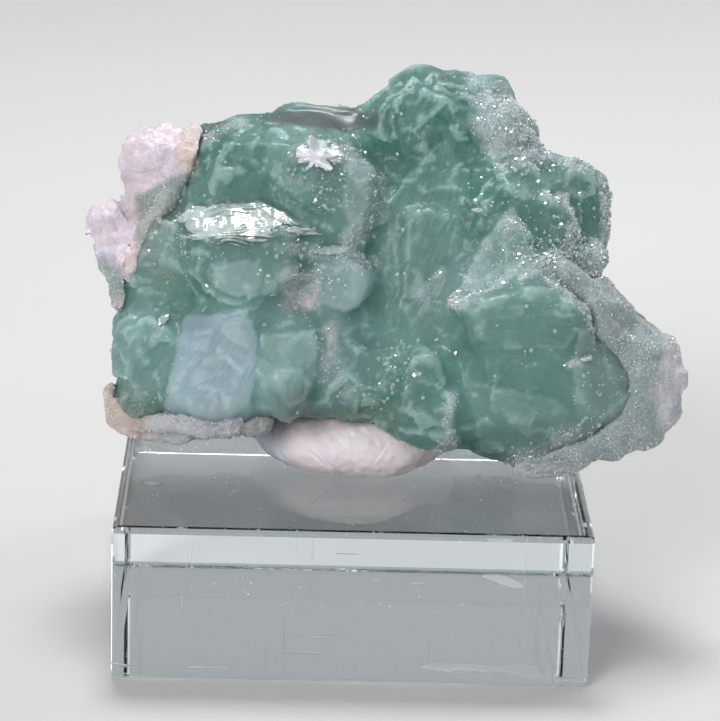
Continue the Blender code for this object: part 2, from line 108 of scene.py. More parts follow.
def hashed(cells, salt):
    """Cell numbers to an even number from 0 to 1: each times its factor, mixed by exclusive or, folded over
    and cut to the low bits."""
    x, y, z = (cells[..., k].astype(np.int64) * factor for k, factor in enumerate(CELL_FACTORS))
    mixed = x ^ y ^ z ^ (salt * SALT_FACTOR)
    for shift, factor in FOLDS:
        mixed = (mixed ^ (mixed >> shift)) * factor
    return ((mixed ^ (mixed >> LAST_FOLD)) & LOW_BITS) / LOW_BITS


def drift(points, width, salt):
    """Value noise from -1 to 1: the eight corners of each point's cell, blended by a smooth step."""
    scaled = points / width
    base = np.floor(scaled)
    part = scaled - base
    part = part * part * (3 - 2 * part)
    total = 0.0
    for corner in np.ndindex(2, 2, 2):
        share = np.prod(np.where(corner, part, 1 - part), axis=-1)
        total = total + share * hashed(base + corner, salt)
    return total * 2 - 1


def rolling(points, width, octaves, salt):
    """Value noise at halving widths and heights, added up."""
    return sum(drift(points, width / 2 ** k, salt + k) / 2 ** k for k in range(octaves))


def shards(points, width, salt):
    """Cells round jittered seeds: the way from the nearest seed, how much farther the second nearest is, and
    four numbers of the cell's own."""
    scaled = points / width
    base = np.floor(scaled)
    nearest = np.full(len(points), FAR)
    second = nearest.copy()
    away = np.zeros((len(points), 3))
    owner = np.zeros((len(points), 3))
    for step in np.ndindex(3, 3, 3):
        cell = base + step - 1
        seed = cell + np.stack([hashed(cell, salt + k) for k in range(3)], -1)
        way = scaled - seed
        reach = np.linalg.norm(way, axis=-1)
        closer = reach < nearest
        second = np.where(closer, nearest, np.minimum(second, reach))
        nearest = np.where(closer, reach, nearest)
        away = np.where(closer[:, None], way, away)
        owner = np.where(closer[:, None], cell, owner)
    own = np.stack([hashed(owner, salt + 10 + k) for k in range(4)], -1)
    return away * width, (second - nearest) * width, own


def broken(points, width, slope, salt):
    """Relief of a fractured face: each shard is a plane that leans its own way, with its own level."""
    away, _, own = shards(points, width, salt)
    lean = (away * (own[:, :3] - 0.5)).sum(-1) * 2 * slope
    return lean + (own[:, 3] - 0.5) * width * slope * 0.5


def smooth_step(value, low, high):
    """0 below low, 1 above high, and eased between by part * part * (3 - 2 * part)."""
    part = np.clip((value - low) / (high - low), 0.0, 1.0)
    return part * part * (3 - 2 * part)


def point_normals(points, faces):
    """Each square's normal, from its diagonals and so weighted by area, added up at its corners."""
    corners = points[faces]
    cross = np.cross(corners[:, 2] - corners[:, 0], corners[:, 3] - corners[:, 1])
    total = np.stack([np.bincount(faces.ravel(), np.repeat(side, 4), len(points)) for side in cross.T], -1)
    return total / np.maximum(np.linalg.norm(total, axis=-1, keepdims=True), TINY)


def relaxed(values, faces, rounds):
    """The mean of each point's neighbours, taken again and again."""
    near = faces.ravel()
    far = np.roll(faces, -1, axis=1).ravel()
    count = np.bincount(near, minlength=len(values)) + np.bincount(far, minlength=len(values))
    for _ in range(rounds):
        sums = [np.bincount(near, side[far], len(side)) + np.bincount(far, side[near], len(side))
                for side in values.T]
        values = np.stack(sums, -1) / count[:, None]
    return values


# How much of the way to the relaxed surface a crevice fills and an edge wears.
FILL_SHARE, WEAR_SHARE = 1.25, 0.12


def grown_together(points, faces, rounds, most):
    """Crevices filled: a point moves out past the relaxed surface where that lies above it, by most at most,
    and a little way in where it lies below."""
    normals = point_normals(points, faces)
    rise = ((relaxed(points, faces, rounds) - points) * normals).sum(-1)
    move = np.where(rise > 0, np.minimum(rise * FILL_SHARE, most), rise * WEAR_SHARE)
    return points + normals * move[:, None]


def kept_inside(points):
    """Points held in the box that the solids fill."""
    low, high = (np.array(corner) / MM for corner in CAD_BOX)
    return np.clip(points, low, high)


# Meshes

def new_mesh(name, points, faces):
    """A mesh from whole arrays of points and equal-sided faces."""
    mesh = bpy.data.meshes.new(name)
    mesh.vertices.add(len(points))
    mesh.vertices.foreach_set("co", points.astype(np.float32).ravel())
    mesh.loops.add(faces.size)
    mesh.loops.foreach_set("vertex_index", faces.astype(np.int32).ravel())
    mesh.polygons.add(len(faces))
    mesh.polygons.foreach_set("loop_start", np.arange(0, faces.size, faces.shape[1], dtype=np.int32))
    mesh.update(calc_edges=True)
    return mesh


def add_piece(name, points, faces, finish, smooth=True, attributes=None):
    """A mesh object from world points in millimetres and equal-sided faces, riding on the only body."""
    mesh = new_mesh(name, points * MM, faces)
    mesh.polygons.foreach_set("use_smooth", np.full(len(faces), smooth))
    mesh.validate()
    for label, values in (attributes or {}).items():
        layer = mesh.attributes.new(label, "FLOAT", "POINT")
        layer.data.foreach_set("value", values.astype(np.float32))
    mesh.materials.append(finish)
    piece = bpy.data.objects.new(name, mesh)
    bpy.context.scene.collection.objects.link(piece)
    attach(piece, "root")
    return piece


def grid_faces(rows, columns):
    """Squares between neighbouring rows of a grid whose columns go round, wound to face out."""
    row, column = np.meshgrid(np.arange(rows - 1), np.arange(columns), indexing="ij")
    here = row * columns + column
    beside = row * columns + (column + 1) % columns
    return np.stack([here, beside, beside + columns, here + columns], -1).reshape(-1, 4)


def even_squares(mesh, cell):
    """A closed surface remade as even squares: points in millimetres, and faces."""
    holder = bpy.data.objects.new("even_squares", mesh)
    bpy.context.scene.collection.objects.link(holder)
    remake = holder.modifiers.new("even_squares", "REMESH")
    remake.mode = "VOXEL"
    remake.voxel_size = cell
    graph = bpy.context.evaluated_depsgraph_get()
    even = bpy.data.meshes.new_from_object(holder.evaluated_get(graph))
    points = np.empty(len(even.vertices) * 3, dtype=np.float32)
    even.vertices.foreach_get("co", points)
    faces = np.empty(len(even.loops), dtype=np.int32)
    even.loops.foreach_get("vertex_index", faces)
    bpy.data.objects.remove(holder, do_unlink=True)
    bpy.data.meshes.remove(mesh)
    bpy.data.meshes.remove(even)
    return points.reshape(-1, 3).astype(float), faces.reshape(-1, 4)


def moved_skin(points, faces, reach, cell):
    """A surface moved along its normals and remade, so that what it crosses becomes one."""
    return even_squares(new_mesh("moved_skin", points + point_normals(points, faces) * reach, faces), cell)


def grown_skin(node, cell, reach, beads=()):
    """A CAD node's surface, merged with any beads (centre and radius) and remade, with its gaps up to twice
    the reach wide grown shut: moved out by the reach, and back in."""
    copy = bmesh.new()
    copy.from_mesh(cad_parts[node].data)
    bmesh.ops.remove_doubles(copy, verts=copy.verts, dist=1e-6)
    copy.transform(Matrix.Scale(1 / MM, 4))
    for centre, radius in beads:
        bmesh.ops.create_icosphere(copy, subdivisions=2, radius=radius, matrix=Matrix.Translation(centre))
    mesh = bpy.data.meshes.new(node + "_skin")
    copy.to_mesh(mesh)
    copy.free()
    points, faces = even_squares(mesh, cell)
    points, faces = moved_skin(points, faces, reach, cell)
    points = relaxed(points, faces, rounds=2)
    return moved_skin(points, faces, -reach, cell)


def scatter(points, faces, weight, count, draw):
    """Spots on a surface and its normals there: squares drawn by area times weight, with an even place in
    each, blended from its corners."""
    corners = points[faces]
    cross = np.cross(corners[:, 2] - corners[:, 0], corners[:, 3] - corners[:, 1])
    area = np.linalg.norm(cross, axis=-1) / 2
    chance = area * weight[faces].mean(axis=1)
    chosen = draw.choice(len(faces), size=count, p=chance / chance.sum())
    s, t = draw.random((2, count, 1))
    quad = corners[chosen]
    spots = (quad[:, 0] * (1 - s) + quad[:, 1] * s) * (1 - t) + (quad[:, 3] * (1 - s) + quad[:, 2] * s) * t
    return spots, cross[chosen] / np.maximum(2 * area[chosen, None], TINY)


# A grain of druse: two four-sided pyramids, base to base.
GRAIN = (np.array([[1, 0, 0], [0, 1, 0], [-1, 0, 0], [0, -1, 0], [0, 0, 1.3], [0, 0, -1.3]], float),
         np.array([[0, 1, 4], [1, 2, 4], [2, 3, 4], [3, 0, 4], [1, 0, 5], [2, 1, 5], [3, 2, 5], [0, 3, 5]]))
GRAIN_SHAPE = np.array([1.0, 1.0, 1.1])


def blunt_crystal(top, cut):
    """A square prism from its root to a shoulder, then four faces in to a small flat top, all triangles."""
    ring = np.array([[1, 1], [-1, 1], [-1, -1], [1, -1]], float)
    levels = [(-1.0, 1.0), (top - cut, 1.0), (top, 1.0 - cut)]
    points = np.concatenate([np.column_stack([ring * share, np.full(4, level)]) for level, share in levels])
    faces = []
    for low in (0, 4):
        for k in range(4):
            a, b = low + k, low + (k + 1) % 4
            faces += [(a, b, b + 4), (a, b + 4, a + 4)]
    faces += [(8, 9, 10), (8, 10, 11), (0, 2, 1), (0, 3, 2)]
    return points, np.array(faces)


def planted(template, spots, normals, sizes, lean, draw, thin=0.0):
    """Copies of a template on a surface, each spun about its normal and leaned from it, as joined arrays.
    The template's second axis keeps near the thin direction where one is given."""
    shape, sides = template
    axis = normals + draw.normal(0.0, lean, normals.shape)
    axis /= np.linalg.norm(axis, axis=-1, keepdims=True)
    spin = np.cross(axis, draw.normal(0.0, 1.0, normals.shape) + thin)
    spin /= np.linalg.norm(spin, axis=-1, keepdims=True)
    third = np.cross(axis, spin)
    scaled = shape[None] * sizes[:, None, :]
    placed = (spots[:, None] + scaled[..., :1] * spin[:, None] + scaled[..., 1:2] * third[:, None]
              + scaled[..., 2:] * axis[:, None])
    faces = sides[None] + (np.arange(len(spots)) * len(shape))[:, None, None]
    return placed.reshape(-1, 3), faces.reshape(-1, 3)


# Finishes

class Wire:
    """A socket in Python arithmetic: each operator adds the Math node that it stands for."""

    def __init__(self, tree, socket):
        self.tree = tree
        self.socket = socket

    def math(self, operation, first, second):
        """One Math node on two wires or numbers."""
        node = self.tree.nodes.new("ShaderNodeMath")
        node.operation = operation
        plug(self.tree, node.inputs[0], first)
        plug(self.tree, node.inputs[1], second)
        return Wire(self.tree, node.outputs[0])

    def __add__(self, other):
        return self.math("ADD", self, other)

    def __sub__(self, other):
        return self.math("SUBTRACT", self, other)

    def __rsub__(self, other):
        return self.math("SUBTRACT", other, self)

    def __mul__(self, other):
        return self.math("MULTIPLY", self, other)

    def held(self):
        """Kept between 0 and 1."""
        return self.math("MINIMUM", self.math("MAXIMUM", self, 0.0), 1.0)

    def beside(self, output):
        """Another output of the same node."""
        return Wire(self.tree, self.socket.node.outputs[output])

    __radd__ = __add__
    __rmul__ = __mul__


def plug(tree, place, value):
    """A link from a wire into a socket, or a plain value for it. A colour is given its fourth number."""
    if isinstance(value, Wire):
        tree.links.new(value.socket, place)
    elif isinstance(value, tuple) and len(value) == 3 and place.type == "RGBA":
        place.default_value = (*value, 1.0)
    else:
        place.default_value = value


class Finish:
    """A material on one Principled shader: constants on its sockets, wires only where the surface varies."""

    def __init__(self, name, **constants):
        self.material = bpy.data.materials.new(name)
        self.material.use_nodes = True
        self.tree = self.material.node_tree
        self.shader = self.tree.nodes["Principled BSDF"]
        self.shader.subsurface_method = "BURLEY"
        self.set(**constants)
        self.place = self.add("ShaderNodeTexCoord", {}, {}, "Object")

    def add(self, kind, settings, inputs, output=0):
        """One node: its settings first, then its sockets' values or wires. Gives the output asked for."""
        node = self.tree.nodes.new(kind)
        for label, value in settings.items():
            setattr(node, label, value)
        for label, value in inputs.items():
            plug(self.tree, node.inputs[label], value)
        return Wire(self.tree, node.outputs[output])

    def noise(self, width, detail=2.0, rough=0.5, bend=0.0, place=None):
        """Noise whose humps are about width millimetres apart, from 0 to 1."""
        return self.add("ShaderNodeTexNoise", {}, {
            "Vector": place or self.place, "Scale": 1 / (width * MM), "Detail": detail, "Roughness": rough,
            "Distortion": bend})

    def cells(self, width, output="Distance"):
        """Cells about width millimetres wide: 0 at each cell's seed, and more away from it."""
        return self.add("ShaderNodeTexVoronoi", {}, {"Vector": self.place, "Scale": 1 / (width * MM)},
                        output)

    def stretched(self, scale, turn):
        """Object coordinates turned and scaled."""
        return self.add("ShaderNodeMapping", {}, {"Vector": self.place, "Scale": scale, "Rotation": turn})

    def ramp(self, wire, low, high):
        """0 at low and 1 at high, eased between and held beyond."""
        return self.add("ShaderNodeMapRange", {"interpolation_type": "SMOOTHSTEP"}, {
            "Value": wire, "From Min": low, "From Max": high})

    def own(self, label):
        """A number stored on the mesh's points."""
        return self.add("ShaderNodeAttribute", {"attribute_name": label}, {}, "Fac")

    def vectors(self, operation, first, second, output=0):
        """Arithmetic on two vectors."""
        return self.add("ShaderNodeVectorMath", {"operation": operation}, {0: first, 1: second}, output)

    def layered(self, colour, *layers):
        """A colour under others, each laid on by its share, which the Mix node keeps between 0 and 1."""
        for share, over in layers:
            colour = self.add("ShaderNodeMix", {"data_type": "RGBA"}, {0: share, 6: colour, 7: over}, 2)
        return colour

    def bump(self, height, depth):
        """Height from 0 to 1, depth in millimetres."""
        self.set(Normal=self.add("ShaderNodeBump", {}, {"Height": height, "Distance": depth * MM}))

    def finished(self, socket, wire):
        """A wire into the material's own output."""
        plug(self.tree, self.tree.nodes["Material Output"].inputs[socket], wire)

    def absorb(self, colour, density):
        """Plain absorption inside, density per metre."""
        inside = self.add("ShaderNodeVolumeAbsorption", {}, {"Color": colour, "Density": density})
        self.finished("Volume", inside)

    def set(self, **wires):
        """Values or wires for the shader's sockets, with underscores for the spaces in their names."""
        for label, value in wires.items():
            plug(self.tree, self.shader.inputs[label.replace("_", " ")], value)

    def second(self, share, **constants):
        """Another Principled shader of constants that shows by the given share, from 0 to 1."""
        other = self.add("ShaderNodeBsdfPrincipled", {}, {
            label.replace("_", " "): value for label, value in constants.items()})
        first = Wire(self.tree, self.shader.outputs[0])
        self.finished("Surface", self.add("ShaderNodeMixShader", {}, {0: share, 1: first, 2: other}))


# Colours, by the finish that wears them

# Deep green is laid on both as the crystal's darker tone and as painted shade on faces that the lamps light
# from above.
DEEP_AND_SHADED_GREEN = (0.050, 0.138, 0.112)
SEA_GREEN = (0.112, 0.222, 0.196)
PALE_GREEN = (0.300, 0.432, 0.420)
BLUISH = (0.310, 0.390, 0.460)
RUSTY = (0.330, 0.320, 0.240)
ROSY_WHITE = (0.560, 0.490, 0.505)
DRUSE_WHITE = (0.440, 0.490, 0.525)
# Grey of the clear parts: partly a smoky tint, partly painted shade for the dark seen through them.
SMOKY_AND_SHADED = (0.24, 0.29, 0.31)

GLASSY_GREEN, VEILED_GREEN = (0.78, 0.90, 0.87), (0.60, 0.76, 0.72)
SHINY_GREEN, CLOUDED_GREEN, SHINY_ROSE = (0.34, 0.48, 0.45), (0.60, 0.70, 0.70), (0.80, 0.70, 0.70)
ICY_WHITE, LILAC_WHITE = (0.60, 0.69, 0.70), (0.80, 0.78, 0.85)

KNOB_LILAC, KNOB_PINK = (0.63, 0.565, 0.66), (0.68, 0.58, 0.63)
SEA_GREY, RIM_WHITE, BEIGE_STAIN = (0.25, 0.33, 0.325), (0.60, 0.57, 0.61), (0.62, 0.50, 0.43)
SUGAR_WHITE, BROWN_STAIN = (0.86, 0.84, 0.88), (0.42, 0.34, 0.22)

PUTTY_PINK, PUTTY_WHITE = (0.85, 0.75, 0.77), (0.88, 0.81, 0.84)
PUTTY_BLUE, PUTTY_FLECK = (0.50, 0.58, 0.70), (0.50, 0.46, 0.45)

ACRYLIC_CLEAR, ACRYLIC_WORN, ACRYLIC_DEPTH = (0.97, 0.99, 0.99), (0.80, 0.82, 0.82), (0.82, 0.93, 0.95)
FLOOR_DARK, FLOOR_PALE = (0.60, 0.60, 0.59), (0.64, 0.64, 0.63)

MEAN_COLOUR = (0.5, 0.5, 0.5)


def splinters(finish, width):
    """Crisp flat facets as a height: in each cell the way from its seed, along a direction that the cell's
    own colour gives."""
    seed = finish.cells(width, "Position")
    away = finish.vectors("SUBTRACT", finish.place, seed)
    lean = finish.vectors("SUBTRACT", seed.beside("Color"), MEAN_COLOUR)
    return finish.vectors("DOT_PRODUCT", away, lean, "Value") * (1 / MM)


def green_crystal_finish():
    """Milky blue-green crystal: veils and striations inside, pale where frosted, lilac-white where drusy,
    and clear where it is one plain plate. Its deep-green patches are partly painted shade, its convex
    edges get a pale painted highlight, and the plain plate's grey is partly painted shade."""
    finish = Finish("green_apophyllite", IOR=1.45, Transmission_Weight=0.04, Specular_IOR_Level=0.22,
                    Subsurface_Weight=1.0, Subsurface_Radius=(0.6, 1.0, 0.9), Subsurface_Scale=0.005,
                    Coat_Weight=0.20, Coat_Roughness=0.16)
    veil = finish.noise(8.0, detail=3.0, rough=0.55, bend=1.0)
    wisp = finish.noise(2.4, detail=4.0, rough=0.65, bend=2.2)
    fine = finish.noise(0.45, rough=0.6)
    druse, deep, milk, blue, rust, moss, rosy, clear, smooth, edge = (finish.own(label) for label in (
        "druse", "deep", "milk", "blue", "rust", "moss", "rosy", "clear", "smooth", "edge"))
    fan = finish.add("ShaderNodeCombineXYZ", {}, {"X": finish.own("ray_turn"), "Y": finish.own("ray_reach")})
    ray = (finish.noise(1 / MM, detail=3.0, rough=0.55, bend=0.25, place=fan) - 0.5) * finish.own("rays")
    # Darkening from veils, mossy wisps and the deep tone; the deep tone is partly painted shade on upward
    # faces.
    dark = finish.ramp(veil, 0.45, 0.72) * 0.35 + deep * 0.75 + moss * finish.ramp(wisp, 0.56, 0.66) * 0.6
    pale = finish.ramp(wisp, 0.36, 0.14) * 0.35 + milk * 0.55 + ray * 0.9 + (fine - 0.5) * 0.3
    colour = finish.layered(
        SEA_GREEN,
        (dark - ray, DEEP_AND_SHADED_GREEN),
        (pale, PALE_GREEN),
        (blue * 0.85 + ray * blue * 0.8, BLUISH),
        # Painted highlight: convex edges are laid pale, as if they caught the light.
        (edge * (0.25 + wisp * 0.8), PALE_GREEN),
        (rust * finish.ramp(fine, 0.35, 0.7), RUSTY),
        (druse * finish.ramp(fine, 0.05, 0.40) * 0.9, DRUSE_WHITE),
        (rosy * finish.ramp(wisp, 0.3, 0.6), ROSY_WHITE))
    finish.set(Base_Color=colour, Roughness=(0.34 + fine * 0.25 + druse * 0.1).held())
    finish.bump(fine * (druse * 1.2 + 0.15) + splinters(finish, 0.95) * (0.75 - smooth * 0.65), depth=0.20)
    # The clear plate's grey is partly painted shade, darker than a clear crystal over a pale floor would
    # look.
    finish.second((clear * (0.90 - finish.ramp(wisp, 0.5, 0.7) * 0.2)).held(),
                  Base_Color=SMOKY_AND_SHADED, Roughness=0.35, IOR=1.53, Transmission_Weight=0.75)
    return finish.material


def clear_crystal_finish():
    """Glassy colourless to faint green crystal with a few veils."""
    finish = Finish("clear_apophyllite", IOR=1.53, Transmission_Weight=0.6,
                    Coat_Weight=1.0, Coat_Roughness=0.03, Coat_IOR=1.7)
    veil = finish.ramp(finish.noise(2.2, detail=4.0, rough=0.65, bend=1.5), 0.45, 0.75)
    finish.set(Base_Color=finish.layered(GLASSY_GREEN, (veil, VEILED_GREEN)),
               Roughness=(0.04 + veil * 0.22).held())
    finish.bump(finish.noise(0.9, detail=3.0, rough=0.6), depth=0.06)
    return finish.material


def glint_finish():
    """Bright polished growth faces: clear over green, a near mirror where they catch the light."""
    finish = Finish("growth_face", IOR=1.6, Coat_Weight=1.0, Coat_Roughness=0.10, Coat_IOR=1.8)
    cloud = finish.ramp(finish.noise(1.6, detail=3.0, rough=0.6), 0.35, 0.7)
    colour = finish.layered(SHINY_GREEN, (cloud * 0.6, CLOUDED_GREEN),
                            (finish.own("rosy") * (0.4 + cloud * 0.6), SHINY_ROSE))
    finish.set(Base_Color=colour, Roughness=(0.08 + cloud * 0.12).held())
    finish.bump(finish.noise(0.5), depth=0.03)
    return finish.material


def druse_finish():
    """Sugar-fine white to lilac crystals that catch the light."""
    finish = Finish("sparkling_druse", IOR=1.53, Coat_Weight=1.0, Coat_Roughness=0.04, Coat_IOR=1.6)
    tone = finish.noise(1.6, rough=0.6)
    finish.set(Base_Color=finish.layered(ICY_WHITE, (finish.ramp(tone, 0.35, 0.65), LILAC_WHITE)),
               Roughness=(0.12 + tone * 0.25).held())
    return finish.material


def matrix_finish():
    """Chalcedony: pink and lilac white on the knobs and the outer rim, sea-grey and drusy between."""
    finish = Finish("white_chalcedony", Subsurface_Weight=0.8, Subsurface_Scale=0.0013,
                    Subsurface_Radius=(1.0, 0.95, 0.95), Coat_Weight=0.25, Coat_Roughness=0.15)
    tint = finish.noise(4.0, detail=3.0, rough=0.6, bend=0.8)
    grain = finish.noise(0.40, detail=3.0, rough=0.7)
    colour = finish.layered(
        KNOB_LILAC,
        (finish.ramp(tint, 0.40, 0.62), KNOB_PINK),
        (finish.own("greenish") * (0.8 + tint * 0.3), SEA_GREY),
        (finish.own("white") * finish.ramp(tint, 0.25, 0.5) * 0.8, RIM_WHITE),
        (finish.own("beige") * (0.5 + grain * 0.6), BEIGE_STAIN),
        (finish.ramp(grain, 0.52, 0.75) * 0.30, SUGAR_WHITE),
        (finish.own("rust") * finish.ramp(grain, 0.3, 0.6), BROWN_STAIN))
    finish.set(Base_Color=colour, Roughness=(0.35 + grain * 0.25).held())
    finish.bump((grain + finish.cells(0.55)) * 0.8, depth=0.30)
    return finish.material


def putty_finish():
    """White mounting putty, chalky with a pink cast, bluish in its thin left end and in painted shade along
    a fold, with faint stains.
    """
    finish = Finish("white_tack", Subsurface_Weight=0.35, Subsurface_Scale=0.0010,
                    Subsurface_Radius=(1.0, 0.7, 0.6))
    cloud = finish.noise(6.0, detail=3.0, rough=0.55)
    fleck = 1.0 - finish.ramp(finish.cells(1.8), 0.06, 0.14)
    # The blue layer also carries painted shade along a fold.
    colour = finish.layered(PUTTY_PINK, (finish.ramp(cloud, 0.35, 0.65), PUTTY_WHITE),
                            (finish.own("blue") * 0.8, PUTTY_BLUE), (fleck * 0.35, PUTTY_FLECK))
    finish.set(Base_Color=colour, Roughness=(0.55 + cloud * 0.2).held())
    finish.bump(finish.noise(0.28, rough=0.6) * 0.6 + cloud * 0.5, depth=0.10)
    return finish.material


def acrylic_finish():
    """Clear cast acrylic: scattered hair scratches two ways, a few dust specks, polish a little worn."""
    finish = Finish("clear_acrylic", IOR=1.49, Transmission_Weight=1.0)
    finish.absorb(ACRYLIC_DEPTH, density=6.0)
    marks = 1.0 - finish.ramp(finish.cells(5.5), 0.010, 0.020)
    for width, scale, turn, low in ((7.0, (9.0, 9.0, 0.5), (0.3, 0.7, 0.2), 0.71),
                                    (8.0, (0.5, 0.5, 9.0), (0.2, -0.5, 0.9), 0.72)):
        hair = finish.noise(width, detail=1.0, bend=0.4, place=finish.stretched(scale, turn))
        marks = marks + finish.ramp(hair, low, low + 0.05)
    marks = marks.held()
    finish.set(Base_Color=finish.layered(ACRYLIC_CLEAR, (marks * 0.5, ACRYLIC_WORN)),
               Roughness=(0.015 + marks * 0.35).held())
    finish.bump(marks, depth=0.03)
    return finish.material


def floor_finish():
    """Matt pale grey in wide soft clouds."""
    finish = Finish("studio_floor", Roughness=0.7)
    finish.set(Base_Color=finish.layered(FLOOR_DARK, (finish.noise(160.0), FLOOR_PALE)))
    return finish.material


# Where the specimen's face is drusy, milky, deep green with painted shade, or stained

# Bands of druse: reach, strength, and the (u, v) points of the path that each follows.
DRUSE_PATHS = [
    (1.3, 0.6, [(-1.4, 26.2), (0.6, 25), (2, 22.4), (2, 19.4), (0.6, 16.8), (-1, 15.2)]),
    (2.4, 1, [(16.4, 34.8), (20.4, 32.4), (22.2, 29.2), (21.6, 26.6), (18.6, 27.6), (17, 30.5)]),
    (0.9, 0.8, [(14.4, 36.8), (16, 35), (17.2, 33)]),
    (1, 0.9, [(22.8, 26), (24.4, 26.6), (26, 25.8)]),
    (0.8, 1, [(26.2, 25.6), (29.2, 24.9), (31.6, 23), (32.2, 20), (31.7, 15.6), (31.3, 12.4)]),
    (0.8, 1, [(24, 21), (26.6, 20.8), (27.4, 18.4), (27, 16), (25.8, 14), (24.2, 12.6)]),
    (0.6, 0.9, [(19.2, 18.8), (19.8, 16.2), (20.2, 13)]),
    (1, 1, [(12, 7.3), (15, 9), (18.9, 10.8), (22.8, 11.9), (26, 12.4), (29.9, 12)]),
    (2.8, 0.8, [(27.2, 11.4), (30.2, 7.6), (32.6, 3.8), (36.4, 1), (39.8, -1.6), (39.2, -4.8), (37.8, -8.4),
                (33.4, -11), (26, -13.6), (21.6, -14)]),
    (0.55, 1, [(26.4, 7.6), (28.6, 6.1), (30, 3.6), (29.6, 1), (28, -0.4), (26.4, -0.9)]),
    (0.8, 0.85, [(10.2, 10.6), (8.8, 9.2), (7.4, 8)]),
    (0.7, 0.8, [(11.8, -4.4), (11.2, -7.6), (11.8, -10.2), (10.2, -11.2)]),
    (1.1, 0.8, [(-8.8, 9.2), (-6.6, 10.4), (-6.2, 7.8), (-7.4, 8.4)]),
    (1.7, 0.55, [(25.6, -10.2), (30.6, -8.8), (35.6, -5.2)]),
    (1, 0.45, [(-4.2, 3.8), (-3.2, 0), (-1.8, -4.2)]),
    (0.8, 0.5, [(-22.2, 27.4), (-19.6, 28.8), (-15.4, 30.4)]),
    (0.9, 0.6, [(-9, 14.2), (-5, 13.4), (-1.4, 13.2), (1.4, 12)]),
    (0.8, 0.5, [(-6.2, 3), (-4.8, 0.6), (-4.4, -2.2)]),
]

# Soft-edged ellipses: centre (u, v), half-extents, strength.
MILKY = [((-13, -6.4), (9, 2.8), 0.6), ((-8, 27), (7, 4), 0.4), ((8, 14), (5, 8), 0.2),
         ((-1, 19), (3, 6), 0.4), ((22, 19), (6, 6), 0.4), ((-28, 1), (4, 5), 0.25),
         ((33, -6), (5, 6), 0.5), ((8, 8), (6, 3), 0.15), ((-9.5, -5), (3.5, 3), 0.5),
         ((-26, 16), (2.6, 4), 0.15)]
BLUE = [((-27, 1), (5, 6), 0.25), ((-8, 3), (12, 9), 0.18), ((8, 10), (8, 8), 0.12),
        ((-26, 15), (2.6, 4), 0.2), ((-15, -4.6), (4, 2), 0.4)]
# Deep-green patches: partly the crystal's own darker tone, partly painted shade that darkens the dome, tower
# and flank, which face up into the lamps.
DEEP_AND_SHADE = [((-12, 28), (13, 6.5), 1), ((-6, 20), (7, 4), 0.5), ((17, 21), (8, 7), 0.8),
        ((8, 30), (9, 8), 0.85), ((-25, 16), (4, 6), 0.9), ((6, -3), (5, 5), 0.3),
        ((5, 34), (5, 3.6), 0.8), ((-20.4, 28), (2.4, 2.4), 1), ((14, 22), (4, 4), 0.6),
        ((19, -7), (6, 5), 0.5), ((-27, -5), (4, 2.6), 0.6), ((-20, 9.6), (5, 1.6), 0.5),
        ((4, -6), (4, 3), 0.5), ((27, 3.6), (2, 3), 0.6), ((28, 22), (3, 2.6), 0.6),
        ((24, 8.4), (6, 1.6), 0.5), ((12, 29), (4, 5), 0.35)]
RUST = [((-26.4, 18.4), (3.6, 3.4), 0.5), ((-22, 25), (1.6, 1.8), 0.8), ((-25, 13.5), (2.6, 3.6), 0.45),
        ((-29, -5.4), (2.6, 3), 0.45), ((2.2, -6.8), (6, 1.4), 0.35), ((-10, -7.6), (4, 1.2), 0.5)]
ROSY = [((-7.6, 8.8), (2.2, 2.6), 1), ((-3.6, 3), (0.8, 3), 0.4), ((27.6, -0.6), (1.2, 0.5), 0.7)]
BEIGE = [((-31, -7), (4, 4.5), 1), ((-22, 27.5), (1.6, 2.4), 0.8), ((-29, 13), (1.6, 2.6), 0.7),
         ((-30.5, 6.5), (1.6, 2.6), 0.5)]
CLEAR = [((-4.5, 31.4), (7.4, 1.8), 1), ((-8.4, -5.2), (2.6, 2.4), 0.45), ((-19.6, 29.4), (1.6, 1.6), 0.6),
         ((18.6, 35.2), (2.2, 1.8), 0.7), ((12, 37), (3.4, 1.4), 0.35),
         ((26.5, 21.4), (1.8, 2.2), 0.35)]
SPARKLY = [((2, -2), (8, 5), 0.4), ((-4, 24), (5, 5), 0.8), ((-8, 12), (7, 5), 0.7),
           ((-22, 17), (6, 5), 0.4), ((22, 20), (8, 8), 0.7)]
MOSS = [((8, 32), (10, 6), 1), ((-14, 26), (9, 5), 0.7), ((16, 19), (5, 6), 0.6), ((-22, 12), (6, 7), 0.5),
        ((2, -4), (9, 5), 0.4), ((24, 18), (6, 8), 0.5)]
SMOOTH = [((-4.5, 31.4), (8, 2.2), 0.9), ((-15, 26), (9, 6), 0.5), ((24, -1), (14, 11.5), 0.9),
          ((8, 12), (6, 12), 0.6), ((-18, -1), (6, 7), 0.9), ((-14, 12), (8, 4), 0.7),
          ((-3, 21), (4, 5), 0.75), ((-12, 24), (6, 4), 0.4)]

# The tones that the crystal finish reads: their patches, and how much of each shows at the back.
TONES = {"milk": (MILKY, 0.5), "blue": (BLUE, 0.0), "deep": (DEEP_AND_SHADE, 0.6), "rust": (RUST, 0.0),
         "rosy": (ROSY, 0.0), "clear": (CLEAR, 1.0), "moss": (MOSS, 1.0)}

# Striations: the apex they spread from, rays per radian, ray length, and the ellipse where they show.
RAYS = [
    ((-6, -4), 62, 7, ((26, -1), (12, 9.5), 0.4)),
    ((4, 60), 150, 6, ((8, 15), (7, 13), 0.7)),
    ((10, 60), 130, 5, ((28.5, 22), (3.4, 4), 1)),
    ((-10, -30), 120, 5, ((-6, 26), (7, 5), 0.4)),
    ((-17, 50), 130, 6, ((-17, 0.6), (6, 6.4), 1)),
    ((-34, -30), 90, 4, ((-25.5, 1), (4, 5), 0.6)),
    ((30, -20), 90, 6, ((9, 31), (8, 5), 0.5)),
    ((-9, -24), 70, 3, ((-8.4, -5), (3.4, 4), 0.7)),
]
